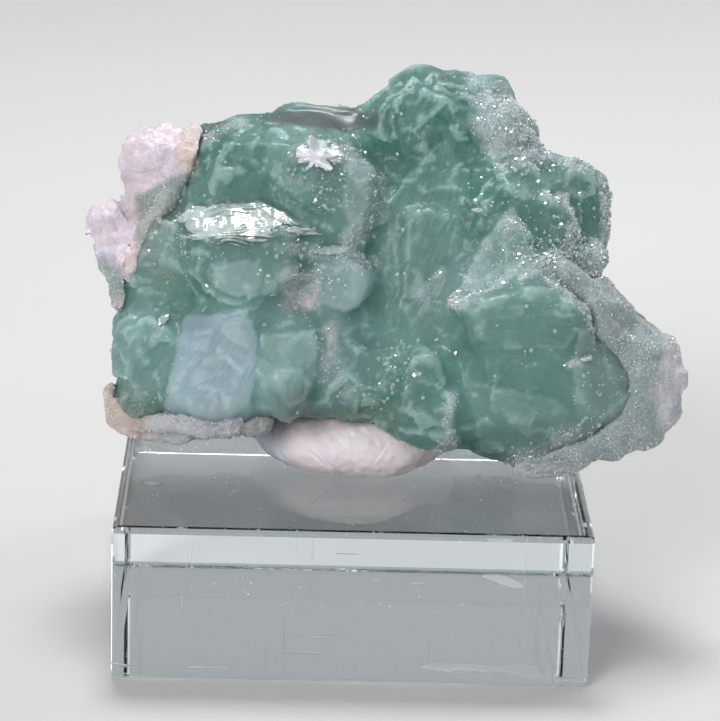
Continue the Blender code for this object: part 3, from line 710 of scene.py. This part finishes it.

# Flat facets: corners (u, v), how far each stands out, and the tones that it takes.
# A facet's deep value is partly painted shade, darkening facets that face up into the lamps.
FACETS = {
    "dome_left": ([(-19.9, 29.8), (-12.7, 32.1), (-11.7, 25.2), (-17.1, 22.3), (-20.5, 24.7)], 0.35,
        {"milk": 0.12, "deep": 0.8}),
    "left_slope": ([(-28.5, 16.1), (-24.9, 16.9), (-21.8, 14.6), (-21, 8.9), (-26.9, 6.5), (-29.8, 9.9)],
        0.3, {"milk": 0.25, "deep": 0.35}),
    "dome_low": ([(-11.9, 22.6), (-7.8, 19.7), (-2.3, 18.7), (-2.8, 15.1), (-6.2, 16.1)], 0.25,
        {"milk": 0.2, "deep": 0.3}),
    "upper_left": ([(-23.8, 21.3), (-17.9, 24.9), (-11.9, 23.9), (-12.7, 20.8), (-20.2, 20.8)], 0.25,
        {"milk": 0.2, "deep": 0.6}),
    "far_left": ([(-31.6, 3.9), (-27.5, 4.7), (-26.4, -0.2), (-29.5, -3), (-31.9, -1.5)], 0.35,
        {"milk": 0.35, "deep": 0.1}),
    "tower_face": ([(4.1, 33.7), (10.4, 36.8), (14.8, 34.8), (14.2, 27.3), (7.8, 24.9), (3.6, 27.3)], 0.35,
        {"deep": 0.8}),
    "flank_face": ([(11.7, 25.2), (17.9, 27.3), (20.7, 22.6), (17.9, 19), (13.2, 17.9)], 0.35,
        {"deep": 0.9, "milk": 0}),
    "bluish_block": ([(-22.3, 5.5), (-14.2, 6.5), (-12.7, 1.4), (-14, -7.1), (-17.4, -9.3), (-25.1, -6.9),
        (-24.3, -1.9)], 0.55, {"blue": 0.85, "milk": 0.25, "deep": 0, "smooth": 1}),
    "left_face": ([(-32.1, 5.5), (-22.5, 5.6), (-24.3, -3.2), (-27.2, -4.1), (-32.1, -2.3)], 0.15,
        {"blue": 0.2, "milk": 0.1, "deep": 0.15}),
    "pointed_crystal": ([(-12.7, 3.4), (-5.7, 3.9), (-5.4, -1.9), (-7.3, -6.4), (-9.6, -8), (-11.9, -5.9),
        (-13.3, -1.9)], 0.7, {"blue": 0.1, "milk": 0.9, "deep": 0}),
    "pale_plate": ([(-5.7, 12.2), (-1.9, 13), (2.1, 10.9), (0.3, 6.3), (-2.2, 5.8), (-6.2, 7.8)], 0.5,
        {"blue": 0.35, "milk": 0.95, "deep": 0, "smooth": 0.8}),
    "pale_core": ([(-18.6, 12.2), (-12.7, 12.8), (-12.2, 9.4), (-15.5, 7.8), (-18.6, 9.1)], 0.2,
        {"blue": 0.25, "milk": 0.75, "deep": 0, "smooth": 0.8}),
    "eye": ([(-25.6, 17.4), (-20.5, 20.7), (-12.7, 20.4), (-6.2, 16.9), (-7.8, 15.3), (-22, 14.8)], 0.7,
        {"milk": 0.15, "deep": 0.3}),
    "dome_face": ([(-12.7, 24.4), (-10.9, 30.1), (-7, 31.1), (-1.8, 29.8), (-0.5, 25.3), (-1.8, 19.2),
        (-7.8, 20)], 0.45, {"milk": 0.35, "deep": 0.35}),
    "dome_flank": ([(-1.3, 27), (1.8, 25.2), (2.3, 20.8), (-0.5, 15.9), (-2.3, 19)], 0,
        {"milk": 0.5, "druse": 0.35, "deep": 0.1}),
    "smoky_shaded_plate": ([(-10.1, 32.4), (-6.5, 33.2), (0.5, 32.4), (1, 30.9), (-2.1, 29.8), (-7.8, 30.9)], 0,
        {"clear": 1, "deep": 1, "smooth": 1, "milk": 0, "druse": 0}),
    "dark_corner": ([(-22, 30.4), (-19.9, 31.4), (-15.8, 28.8), (-16.1, 24.9), (-21.8, 25.2)], 0.2,
        {"deep": 1, "milk": 0}),
    "leaning_plate": ([(3.1, 21.3), (11.1, 28.8), (14.2, 24.4), (12.4, 13.3), (5.7, 5), (3.1, 9.9)], 0.35,
        {"deep": 0.3, "milk": 0.05}),
    "drusy_triangle": ([(12.2, 7.8), (15, 14.8), (19.2, 19.2), (21.6, 17.4), (22.8, 11.5)], 0.55,
        {"druse": 0.42, "milk": 0.35, "deep": 0}),
    "near_step": ([(21.5, 20), (26, 21), (26.7, 15.6), (24.1, 13.5), (21.2, 14.8)], 0.3,
        {"deep": 0.35, "milk": 0.1, "druse": 0}),
    "far_step": ([(25.9, 24.7), (31.1, 24.4), (31.6, 16.1), (27.7, 15.9), (26.9, 20.8)], 0.2,
        {"deep": 0.45, "milk": 0.05, "druse": 0}),
    "drusy_saddle": ([(22, 12.8), (25.9, 14.8), (31.6, 15.6), (31.1, 10.9), (28.5, 7.3), (24, 8.9)], 0,
        {"druse": 0.85, "deep": 0}),
    "low_facet": ([(-3.9, 3.9), (4.1, 5.5), (5.7, -1.5), (1.6, -6.2), (-4.7, -5.6)], 0.35,
        {"deep": 0.25, "milk": 0.1}),
    "lens_right": ([(27.8, 5), (33.2, 1.4), (35, -5.1), (31.6, -10), (27.5, -8.7), (26.7, 0.1)], 0.2,
        {"milk": 0.4, "druse": 0.15, "deep": 0}),
    "lens_lower": ([(13.2, -2.3), (24.9, -4.9), (29.8, -10.3), (24, -13.7), (15.3, -11.8)], 0.25,
        {"milk": 0.3, "deep": 0.1}),
    "lens_upper": ([(11.9, 7.1), (23.3, 9.6), (29, 5.5), (25.9, 1.4), (14.2, 1.1)], 0.25,
        {"deep": 0.1, "milk": 0.2}),
}


# How far outside and inside its outline a facet's edge is eased.
FACET_EDGE = (-0.15, 0.40)


def facet_share(spots, corners):
    """1 inside a convex outline and 0 outside, eased over its edge: the least distance inwards from the
    lines of its edges, through a smooth step."""
    corners = np.array(corners)
    middle = corners.mean(axis=0)
    least = np.full(len(spots), FAR)
    for start, end in zip(corners, np.roll(corners, -1, axis=0)):
        inwards = np.array([end[1] - start[1], start[0] - end[0]]) / np.linalg.norm(end - start)
        if (middle - start) @ inwards < 0:
            inwards = -inwards
        least = np.minimum(least, (spots - start) @ inwards)
    return smooth_step(least, *FACET_EDGE)


def stretches(path):
    """The start and the end of each straight stretch of a path."""
    return zip(np.array(path[:-1]), np.array(path[1:]))


def path_nearness(spots, reach, path):
    """1 on a path through (u, v) points, falling to 0 at one and a half times its reach, by the distance to
    its nearest stretch."""
    nearest = np.full(len(spots), FAR)
    for start, end in stretches(path):
        along = end - start
        part = np.clip(((spots - start) @ along) / (along @ along), 0.0, 1.0)
        nearest = np.minimum(nearest, np.linalg.norm(spots - start - part[:, None] * along, axis=-1))
    return smooth_step(1.0 - nearest / (reach * 1.5), 0.0, 0.75)


def patches(spots, table):
    """Soft-edged ellipses, the strongest one at each spot."""
    total = np.zeros(len(spots))
    for centre, extent, strength in table:
        reach = np.linalg.norm((spots - centre) / extent, axis=-1)
        total = np.maximum(total, strength * smooth_step(1.35 - reach, 0.0, 0.8))
    return total


def shaken(face, width, depth, salt):
    """The (u, v) of points in the face frame, moved about by noise."""
    return face[:, :2] + np.stack([drift(face, width, salt), drift(face, width, salt + 1)], -1) * depth


def face_marks(face):
    """The numbers that the crystal finish reads for points in the face frame, and how far the flat facets
    stand out there."""
    spots = shaken(face, 1.3, 0.55, 41)
    front = smooth_step(face[:, 2], -8.0, -4.0)
    druse = np.zeros(len(face))
    for reach, strength, path in DRUSE_PATHS:
        druse = np.maximum(druse, strength * path_nearness(spots, reach, path))
    marks = {"druse": druse, "smooth": patches(face[:, :2], SMOOTH)}
    for label, (table, back) in TONES.items():
        marks[label] = patches(spots, table) * (front + back * (1 - front))
    stand = np.zeros(len(face))
    jagged = shaken(face, 0.9, 0.22, 46)
    for corners, height, tones in FACETS.values():
        share = facet_share(jagged, corners) * front
        stand += share * height
        for label, value in tones.items():
            marks[label] += share * (value - marks[label])
    behind = 0.45 * smooth_step(rolling(face, 6.0, 3, 44), 0.0, 0.6) * (1 - front)
    broken_up = 0.55 + 0.45 * smooth_step(drift(face, 2.0, 45), -0.7, 0.2)
    marks["druse"] = marks["druse"] * broken_up * (0.85 + 0.4 * drift(face, 0.9, 43)) * front + behind
    marks["druse"] = np.clip(marks["druse"], 0, 1)
    marks["clear"] *= 1 - marks["druse"]
    marks.update(striations(face, spots))
    return marks, stand


def striations(face, spots):
    """Numbers that draw fans of lines: how strongly they show, and the turn and the reach from their apex.
    The turn winds a little with the reach, so that the lines curve."""
    marks = dict.fromkeys(("rays", "ray_turn", "ray_reach"), np.zeros(len(face)))
    for apex, fine, length, place in RAYS:
        shown = patches(spots, [place])
        way = face[:, :2] - apex
        reach = np.linalg.norm(way, axis=-1)
        turn = np.arctan2(way[:, 1], way[:, 0]) + 0.012 * reach
        here = shown > marks["rays"]
        for label, values in (("rays", shown), ("ray_turn", turn * fine), ("ray_reach", reach / length)):
            marks[label] = np.where(here, values, marks[label])
    return marks


def sharp_edges(points, faces, normals):
    """1 on a convex edge, 0 on a flat: how far a point stands out of the relaxed surface."""
    stand = ((points - relaxed(points, faces, rounds=12)) * normals).sum(-1)
    return smooth_step(stand, 0.06, 0.32)


# How far both skins stand off the solids that they cover.
SKIN = 0.08


def crystal_mass(finish):
    """The CAD crystals grown together, then rolling, broken and drusy: each point moves along its normal by
    the sum of its reliefs, and the flat facets stand out towards the front."""
    points, faces = grown_skin("apophyllite_crystals", cell=0.37, reach=1.6)
    points = grown_together(points, faces, rounds=40, most=1.5)
    normals = point_normals(points, faces)
    face = to_face(points)
    marks, stand = face_marks(face)
    rough = 1.0 - marks["smooth"]
    relief = 0.16 * rolling(face, 7.0, 3, 51)
    relief += (0.25 + 0.75 * rough) * (np.clip(broken(face, 4.2, 0.22, 52), -0.40, 0.34)
                                       + np.clip(broken(face, 1.7, 0.15, 53), -0.10, 0.12))
    relief += marks["moss"] * 0.08 * rolling(face, 1.3, 2, 56)
    relief += (1 - rough) * np.clip(broken(face * [1, 1, 0.6], 6.0, 0.07, 57), -0.2, 0.2)
    relief *= 1 - 0.8 * marks["clear"]
    _, gap, own = shards(face, 0.8, 55)
    relief += marks["druse"] * (0.08 + 0.16 * np.minimum(gap, 0.5) * (0.4 + own[:, 3]))
    moved = kept_inside(points + normals * (relief + SKIN)[:, None] + stand[:, None] * FACE_AXES[2])
    # How convex each point is, which the crystal finish paints as a pale edge highlight.
    marks["edge"] = sharp_edges(moved, faces, normals)
    piece = add_piece("apophyllite_mass", moved, faces, finish, attributes=marks)
    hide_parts("apophyllite_crystals")
    return moved, faces, marks


# The height field's square, and its height where the crystals leave it empty.
FIELD_CELL, FIELD_EMPTY = 0.5, -25.0


def front_map(face):
    """The front of the crystals as a height field: the highest w in each square of an even (u, v) grid, and
    the grid's low corner."""
    low = face[:, :2].min(axis=0)
    place = ((face[:, :2] - low) / FIELD_CELL).astype(int)
    size = place.max(axis=0) + 2
    heights = np.full(size.prod(), FIELD_EMPTY)
    np.maximum.at(heights, place[:, 0] * size[1] + place[:, 1], face[:, 2])
    return heights.reshape(size), low


def front_height(front, u, v):
    """The height field read between its squares' middles, blended from the nearest four."""
    heights, low = front
    x = np.clip((u - low[0]) / FIELD_CELL - 0.5, 0, heights.shape[0] - 1.001)
    y = np.clip((v - low[1]) / FIELD_CELL - 0.5, 0, heights.shape[1] - 1.001)
    i, j = x.astype(int), y.astype(int)
    s, t = x - i, y - j
    return ((heights[i, j] * (1 - s) + heights[i + 1, j] * s) * (1 - t)
            + (heights[i, j + 1] * (1 - s) + heights[i + 1, j + 1] * s) * t)


def spread(squares, padded, fall, choose):
    """Each square with its four neighbours, less the fall, through the function that chooses among them."""
    wide = padded - fall
    return choose([squares, wide[:-2, 1:-1], wide[2:, 1:-1], wide[1:-1, :-2], wide[1:-1, 2:]])


def apron(front, slope, rounds):
    """The height field spread outwards: a ramp falls away from every edge at the slope, square by square."""
    heights, low = front
    for _ in range(rounds):
        heights = spread(heights, np.pad(heights, 1, mode="edge"), slope * FIELD_CELL, np.maximum.reduce)
    return heights, low


def well_inside(front, rounds):
    """1 where the height field has something, its rim worn away square by square, and 0 elsewhere."""
    heights, low = front
    inside = (heights > FIELD_EMPTY + 1).astype(float)
    for _ in range(rounds):
        inside = spread(inside, np.pad(inside, 1), 0.0, np.minimum.reduce)
    return inside, low


# Where the matrix closes against the crystals: bead radius, and the seam's (u, v) points.
SEAMS = [
    (1.5, [(25.6, 11.6), (29.3, 8.6), (30.8, 4.7), (32.6, 1), (34.8, -1.7), (34.8, -5.5), (32.4, -9.1),
           (28.1, -12), (22, -13.5)]),
    (1.3, [(-31.3, -6), (-29.1, -8), (-25.3, -8.2), (-20.7, -8.6), (-15.5, -8.4)]),
    (1.2, [(-21.9, 29.4), (-22.2, 25.8), (-24.6, 20.6), (-28, 16.5), (-29.4, 10.9)]),
]


# The step from bead to bead, and how far the beads and the lifted matrix stay under the ramp.
BEAD_STEP, BEAD_DEPTH, RAMP_DEPTH, MOST_LIFT = 0.8, 0.2, 0.30, 7.0


def seam_beads(ramp):
    """Beads at an even step along the seams, their tops just under the ramp that falls from the crystals."""
    beads = []
    for radius, path in SEAMS:
        for start, end in stretches(path):
            for part in np.arange(0.0, 1.0, BEAD_STEP / np.linalg.norm(end - start)):
                u, v = start + (end - start) * part
                top = front_height(ramp, np.array([u]), np.array([v]))[0]
                beads.append((from_face(np.array([u, v, top - radius - BEAD_DEPTH])), radius))
    return beads


def lumps(points, width, height, level, least, salt):
    """Round-topped cells: the height times (level less the square of reach over width), times (least plus a
    number of the cell's own)."""
    away, _, own = shards(points, width, salt)
    return height * (level - (np.linalg.norm(away, axis=-1) / width) ** 2) * (least + own[:, 3])


def matrix_relief(face, back, knobs):
    """Cauliflower lumps at three sizes over a rolling surface, broken lumps behind, and broken knobs."""
    relief = 0.25 * rolling(face, 4.5, 3, 61)
    for width, height, salt in ((2.6, 0.34, 62), (1.3, 0.30, 63), (0.8, 0.22, 64)):
        relief += lumps(face, width, height, 0.5, 0.5, salt)
    behind = np.clip(broken(face, 3.6, 0.45, 74), -0.6, 0.6) + 0.45 * rolling(face, 9.0, 3, 67)
    bent = face + 0.8 * rolling(face, 3.0, 2, 70)[:, None]
    for width, height, salt in ((5.2, 0.75, 68), (3.1, 0.45, 69)):
        behind += lumps(bent, width, height, 0.55, 0.3, salt)
    return relief + back * behind + knobs * np.clip(broken(face, 1.9, 0.50, 66), -0.40, 0.40)


def knob_share(u, v):
    """1 on the two knobs at the left and 0 elsewhere: each is above a slanting line and left of another."""
    upper = smooth_step(v - 0.42 * (u + 21.4), 24.0, 25.2) * smooth_step(-u, 20.0, 21.5)
    lower = smooth_step(v + 0.8 * (u + 30.0), 9.0, 13.0) * smooth_step(-u, 28.4, 29.6)
    return np.maximum(upper, lower)


def pale_share(face, back):
    """1 where the matrix is white: its outer rim, its underside, its lower left foot and clouds behind."""
    u, v, _ = face.T
    outer = smooth_step(u - 0.35 * np.abs(v + 4.0), 36.2, 38.4)
    under = smooth_step(-v - 0.10 * np.abs(u - 24.0), 12.6, 13.8)
    foot = smooth_step(-v, 6.0, 8.0) * smooth_step(-u, 6.0, 10.0) * 0.8
    clouds = back * smooth_step(rolling(face, 8.0, 3, 73), -0.1, 0.5) * 0.7
    return np.maximum.reduce([outer, under, foot, clouds])


def matrix_skin(front, finish):
    """The CAD matrix grown shut along its seams: each point moves along its normal by its relief. Those that
    face the front and aren't inside the crystals are lifted to the ramp that falls from the crystals."""
    ramp = apron(front, slope=1.0, rounds=12)
    points, faces = grown_skin("chalcedony_matrix", cell=0.36, reach=0.8, beads=seam_beads(ramp))
    points = grown_together(points, faces, rounds=12, most=0.8)
    normals = point_normals(points, faces)
    face = to_face(points)
    u, v, w = face.T
    back = smooth_step(-w, 6.0, 10.0)
    knobs = knob_share(u, v)
    facing = smooth_step((normals @ FACE_AXES.T)[:, 2], -0.5, 0.1)
    hidden = front_height(well_inside(front, rounds=4), u, v)
    lift = np.clip(front_height(ramp, u, v) - RAMP_DEPTH - w, 0.0, MOST_LIFT) * facing * (1 - hidden)
    relief = matrix_relief(face, back, knobs) + SKIN
    moved = kept_inside(points + normals * relief[:, None] + lift[:, None] * FACE_AXES[2])
    marks = {
        "beige": patches(face[:, :2], BEIGE),
        "greenish": np.clip(1.0 - knobs + 0.2 * drift(face, 4.0, 65), 0, 1),
        "white": pale_share(face, back) * (1 - knobs),
        "rust": patches(face[:, :2], RUST) * 0.8,
    }
    piece = add_piece("chalcedony_skin", moved, faces, finish, attributes=marks)
    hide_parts("chalcedony_matrix")
    return moved, faces, knobs


def druse_on_crystals(mass, finish, draw):
    """Grains planted thick where the face is drusy, and next to none elsewhere."""
    points, faces, marks = mass
    weight = marks["druse"] ** 1.7 + 0.0002
    spots, normals = scatter(points, faces, weight, count=24000, draw=draw)
    sizes = draw.uniform(0.040, 0.105, (len(spots), 1)) * GRAIN_SHAPE
    shape, sides = planted(GRAIN, spots, normals, sizes, 0.5, draw)
    piece = add_piece("druse_on_crystals", kept_inside(shape), sides, finish, smooth=False)


# Facets that shine at the camera under the overhead light face halfway between the two, in the face frame.
GLINT_WAY = np.array([0.0, 0.705, 0.705])


def sparkles(mass, finish, draw):
    """Small blocky crystals, planted upright, or turned so that their tops shine at the camera."""
    points, faces, marks = mass
    face = to_face(points)
    weight = marks["druse"] ** 2 + patches(face[:, :2], SPARKLY) * 0.20 + 0.004
    weight = weight * smooth_step(face[:, 2], -9.0, -3.0) + 0.004
    weight *= 0.3 + smooth_step(drift(face, 5.0, 71), 0.0, 0.5)
    spots, normals = scatter(points, faces, weight, count=5000, draw=draw)
    turned = GLINT_WAY @ FACE_AXES
    facing = normals @ turned
    axis = np.where((facing > 0.15)[:, None] & (draw.random(len(spots)) < 0.6)[:, None],
                    turned + 0.35 * normals, normals)
    axis /= np.linalg.norm(axis, axis=-1, keepdims=True)
    width = 0.07 + 0.22 * draw.random((len(spots), 1)) ** 3
    sizes = width * np.stack([np.ones(len(spots)), draw.uniform(0.6, 1.0, len(spots)),
                              draw.uniform(0.8, 1.3, len(spots))], -1)
    shape, sides = planted(blunt_crystal(1.0, 0.25), spots, axis, sizes, 0.12, draw)
    piece = add_piece("sparkling_blocks", kept_inside(shape), sides, finish, smooth=False)


def druse_on_matrix(skin, finish, draw):
    """Grains planted in clouds over the matrix, thicker in front and thin on the knobs."""
    points, faces, knobs = skin
    face = to_face(points)
    weight = (0.2 + smooth_step(face[:, 2], -8.0, -2.0)) * (1 - 0.9 * knobs)
    weight *= 0.25 + smooth_step(rolling(face, 3.0, 2, 72), -0.4, 0.4)
    spots, normals = scatter(points, faces, weight, count=20000, draw=draw)
    sizes = (0.04 + 0.10 * draw.random((len(spots), 1)) ** 1.5) * GRAIN_SHAPE
    shape, sides = planted(GRAIN, spots, normals, sizes, 0.45, draw)
    piece = add_piece("druse_on_matrix", kept_inside(shape), sides, finish, smooth=False)


# Stepped growth faces: centre (u, v), half-width, half-height, turn, step height up the face, how rosy.
LEDGES = {
    "ledge_main": ((-16.6, 17.4), 5.6, 2.6, -0.04, 0.5, 0.25),
    "ledge_left": ((-21.6, 18.6), 1.9, 0.8, 0.3, 0.4, 0.1),
    "ledge_right": ((-10.6, 18.6), 2.7, 0.65, -0.5, 0.35, 0.2),
    "ledge_near": ((-7.2, 16.4), 2, 0.55, -0.1, 0.4, 0.3),
    "ledge_far": ((-3.5, 14), 2.2, 0.62, 0.05, 0.36, 0.2),
    "dome_flake": ((-3.7, 26.6), 1.9, 1.3, -0.75, 0.3, 0.5),
    "ledge_top": ((-14.4, 19.6), 2.6, 0.45, 0.05, 0.3, 0.2),
    "scaly_edge": ((-7.2, 10.8), 1.3, 0.4, 0.1, 0.3, 0.6),
    "hook_step": ((28.6, 0.2), 0.9, 0.4, 0.25, 0.3, 0.3),
    "tower_step": ((15, 19.2), 0.7, 0.35, -0.1, 0.3, 0.1),
    "low_step": ((-25, 5.2), 0.9, 0.6, 0.9, 0.3, 0.1),
}


def stepped_face(name, spec, front, finish, salt):
    """A leaf on polar rings, with a ragged oval outline. Its top follows the front in steps: on each step it
    falls as fast as it rises up the face, so every tread leans halfway to the light, and a riser brings it
    back. The rim turns under to a point inside the crystal."""
    centre, half_width, half_height, turn, pitch, rosy = spec
    rings, spokes = int(14 + 14 * half_height), int(60 + 50 * half_width)
    angle = np.linspace(0, FULL_TURN, spokes, endpoint=False)
    share = np.concatenate([np.linspace(0, 1, rings) ** 0.8, [1.0, 0.8, 0.0]])[:, None]
    circle = np.stack([np.cos(angle) * 2, np.sin(angle) * 2, np.full(spokes, salt)], -1)
    edge = 1.0 + 0.20 * drift(circle, 0.5, 81) + 0.12 * np.abs(np.cos(angle)) ** 4
    s, t = share * np.cos(angle) * half_width * edge, share * np.sin(angle) * half_height * edge
    u = centre[0] + s * np.cos(turn) - t * np.sin(turn)
    v = centre[1] + s * np.sin(turn) + t * np.cos(turn)
    flat = np.stack([u, v, np.full_like(u, salt * 7.3)], -1).reshape(-1, 3)
    bend = rolling(flat * [0.45, 1.0, 1.0], 3.0, 2, 82).reshape(u.shape)
    level = (v + bend) / pitch
    within = (level - np.floor(level) - 0.5) * pitch
    lean = (1.0 + 0.15 * drift(flat, 1.1, 84)).reshape(u.shape)
    under = front_height(front, u, v - within)
    w = under - within * lean + 0.25 - 0.35 * smooth_step(share, 0.75, 1.0)
    w[rings:] -= np.array([0.5, 1.0, 1.2])[:, None]
    local = np.stack([u, v, w], -1).reshape(-1, 3)
    local[-spokes:] = local[-spokes:].mean(axis=0)
    piece = add_piece(name, from_face(local), grid_faces(len(share), spokes), finish,
                      attributes={"rosy": np.full(len(local), rosy)})


# The star's middle (u, v), and the turn from blade to blade, which spreads any number evenly round.
STAR_PLACE, GOLDEN_TURN = np.array([-5.6, 25.9]), 2.4


def dome_star(front, finish, draw):
    """A star of white blades lying on the dome, each with its root in the middle and its tip outwards."""
    count = 11
    angle = np.arange(count) * GOLDEN_TURN + draw.uniform(-0.2, 0.2, count)
    middle = STAR_PLACE + draw.normal(0.0, 0.25, (count, 2))
    spots = np.column_stack([middle, front_height(front, *middle.T) + 0.35])
    lean = np.column_stack([np.cos(angle), np.sin(angle) * 0.8, draw.uniform(0.05, 0.45, count)])
    lean /= np.linalg.norm(lean, axis=-1, keepdims=True)
    sizes = draw.uniform(1.5, 2.8, (count, 1)) * [0.22, 0.10, 1.0]
    shape, sides = planted(blunt_crystal(1.0, 0.6), from_face(spots), lean @ FACE_AXES, sizes, 0.05, draw,
                           GLINT_WAY @ FACE_AXES * 5.0)
    piece = add_piece("dome_star", shape, sides, finish, smooth=False)


# The putty: its centre and radii, and its creases by start and end (x, z), half-width and depth.
PUTTY_CENTRE, PUTTY_RADII = np.array([0.3, -0.6, 23.4]), np.array([13.2, 11.4, 5.6])
CREASES = [((-5.6, 23.8), (-1.8, 20.4), 0.22, 0.42), ((-3.6, 23), (-1, 20.6), 0.16, 0.26),
           ((4.6, 25.6), (2.2, 22.4), 0.12, 0.14)]
PLEAT_PITCH, RIDGE_PITCH = 1.3, 0.46


def crease(x, z, start, end, width, depth):
    """A groove pressed along a line of the front and a soft roll beside it, both bell-shaped across the line
    and fading towards its ends."""
    start, end = np.array(start), np.array(end)
    along = end - start
    spots = np.stack([x, z], -1) - start
    part = (spots @ along) / (along @ along)
    across = (spots[:, 0] * along[1] - spots[:, 1] * along[0]) / np.linalg.norm(along) / width
    fade = smooth_step(part, -0.15, 0.2) * smooth_step(1.15 - part, 0.0, 0.4)
    return depth * fade * (0.5 * np.exp(-((across + 2.2) / 1.6) ** 2) - np.exp(-across ** 2))


def putty(finish):
    """A flattened ball: an oval grid of directions, rolled uneven, pleated at its left end, creased where it
    was folded over, and ridged in arcs by finger skin. Its foot is pressed flat on the block."""
    rows, columns = 120, 400
    polar = np.linspace(0.0, np.pi, rows)[:, None]
    turn = np.linspace(0, FULL_TURN, columns, endpoint=False)
    out = np.stack([np.sin(polar) * np.cos(turn), np.sin(polar) * np.sin(turn),
                    np.cos(polar).repeat(columns, axis=1)], -1).reshape(-1, 3)
    points = PUTTY_CENTRE + out * PUTTY_RADII
    points[:, 2] += 0.9 * smooth_step(points[:, 0], 7.0, 12.5) * (1 - np.abs(out[:, 2]))
    front = smooth_step(-out[:, 1], 0.05, 0.45)
    x, _, z = points.T.copy()
    swell = 0.40 * rolling(points, 5.0, 3, 91)
    for spec in CREASES:
        swell += front * crease(x, z, *spec)
    pleated = smooth_step(-x, 7.0, 10.0) * front
    swell += pleated * 0.16 * np.sin((x + 0.5 * z + 0.8 * drift(points, 3.0, 95)) * FULL_TURN / PLEAT_PITCH)
    arcs = np.hypot(x - 3.2, (z - 27.0) * 1.25) + 0.5 * drift(points, 3.0, 92)
    ridge = np.sin(arcs * FULL_TURN / RIDGE_PITCH) * smooth_step(drift(points, 4.0, 93), -0.45, 0.15)
    swell += 0.045 * ridge + 0.11 * rolling(points, 0.9, 2, 94)
    points += out * swell[:, None]
    points[:, 2] = np.maximum(points[:, 2], BLOCK_TOP + 0.02)
    x, _, z = points.T
    thin_end = smooth_step(-x - 0.6 * (z - 22), 5.5, 11.5) * 0.9
    shaded_fold = 0.35 * smooth_step(-np.abs(x + 3.0 + 0.6 * (z - 23)), -1.6, 0.0) * front
    piece = add_piece("putty_wad", kept_inside(points), grid_faces(rows, columns), finish,
                      attributes={"blue": thin_end + shaded_fold})
    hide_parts("mounting_putty")


def main():
    """All the pieces, in the order of their random draws, and then the studio."""
    draw = np.random.default_rng(20)
    sparkle = druse_finish()
    mass = crystal_mass(green_crystal_finish())
    front = front_map(to_face(mass[0]))
    skin = matrix_skin(front, matrix_finish())
    druse_on_crystals(mass, sparkle, draw)
    sparkles(mass, clear_crystal_finish(), draw)
    druse_on_matrix(skin, sparkle, draw)
    glint = glint_finish()
    for salt, (name, spec) in enumerate(LEDGES.items(), 1):
        stepped_face(name, spec, front, glint, salt)
    dome_star(front, sparkle, draw)
    putty(putty_finish())
    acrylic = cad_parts["acrylic_block"].data
    acrylic.materials.clear()
    acrylic.materials.append(acrylic_finish())
    studio()


# The floor lies just under the block, so that the block's base mirrors inside as it does over air.
FLOOR_REACH, FLOOR_LEVEL = 3.0, -0.0001
SKY_COLOUR, SKY_STRENGTH = (0.62, 0.63, 0.66, 1.0), 0.62
AIM = Vector((0.0, 0.0, 0.04))

# Lights: kind, place, width or a sun's angle, power, colour.
LAMPS = {
    "overhead": ("AREA", (-0.02, 0.16, 0.50), 0.15, 1.6, (1.0, 0.99, 0.99)),
    "front_left": ("SUN", (-0.45, -0.75, 0.50), 0.50, 1.75, (1.0, 0.98, 0.97)),
    "right_back": ("AREA", (0.50, 0.40, 0.35), 0.40, 1.1, (0.95, 0.97, 1.0)),
}


def studio():
    """Pale floor, soft lights above and at the right, a broad sun at the front left, and the camera."""
    scene = bpy.context.scene
    floor = bpy.data.meshes.new("studio_floor")
    corners = FLOOR_REACH * np.array([(-1, -1), (1, -1), (1, 1), (-1, 1)])
    floor.from_pydata([(x, y, FLOOR_LEVEL) for x, y in corners], [], [(0, 1, 2, 3)])
    floor.materials.append(floor_finish())
    ground = bpy.data.objects.new("studio_floor", floor)
    scene.collection.objects.link(ground)
    world = bpy.data.worlds.new("studio")
    world.use_nodes = True
    sky = world.node_tree.nodes["Background"]
    sky.inputs["Color"].default_value = SKY_COLOUR
    sky.inputs["Strength"].default_value = SKY_STRENGTH
    scene.world = world
    for name, (kind, place, size, power, colour) in LAMPS.items():
        light = bpy.data.lights.new(name, kind)
        if kind == "SUN":
            light.angle = size
        else:
            light.shape = "SQUARE"
            light.size = size
        light.energy = power
        light.color = colour
        lamp = bpy.data.objects.new(name, light)
        lamp.location = place
        lamp.rotation_euler = (AIM - lamp.location).to_track_quat("-Z", "Y").to_euler()
        scene.collection.objects.link(lamp)
    lens = bpy.data.cameras.new("camera")
    lens.sensor_width = 36.0
    lens.lens = FOCAL_PIXELS / max(IMAGE_SIZE) * lens.sensor_width
    lens.clip_start = 0.01
    camera = bpy.data.objects.new("camera", lens)
    rows = [[*FACE_AXES[:, row], CAMERA_PLACE[row] * MM] for row in range(3)]
    camera.matrix_world = Matrix([*rows, [0, 0, 0, 1]])
    scene.collection.objects.link(camera)
    scene.camera = camera
    scene.view_settings.view_transform = "Standard"


main()
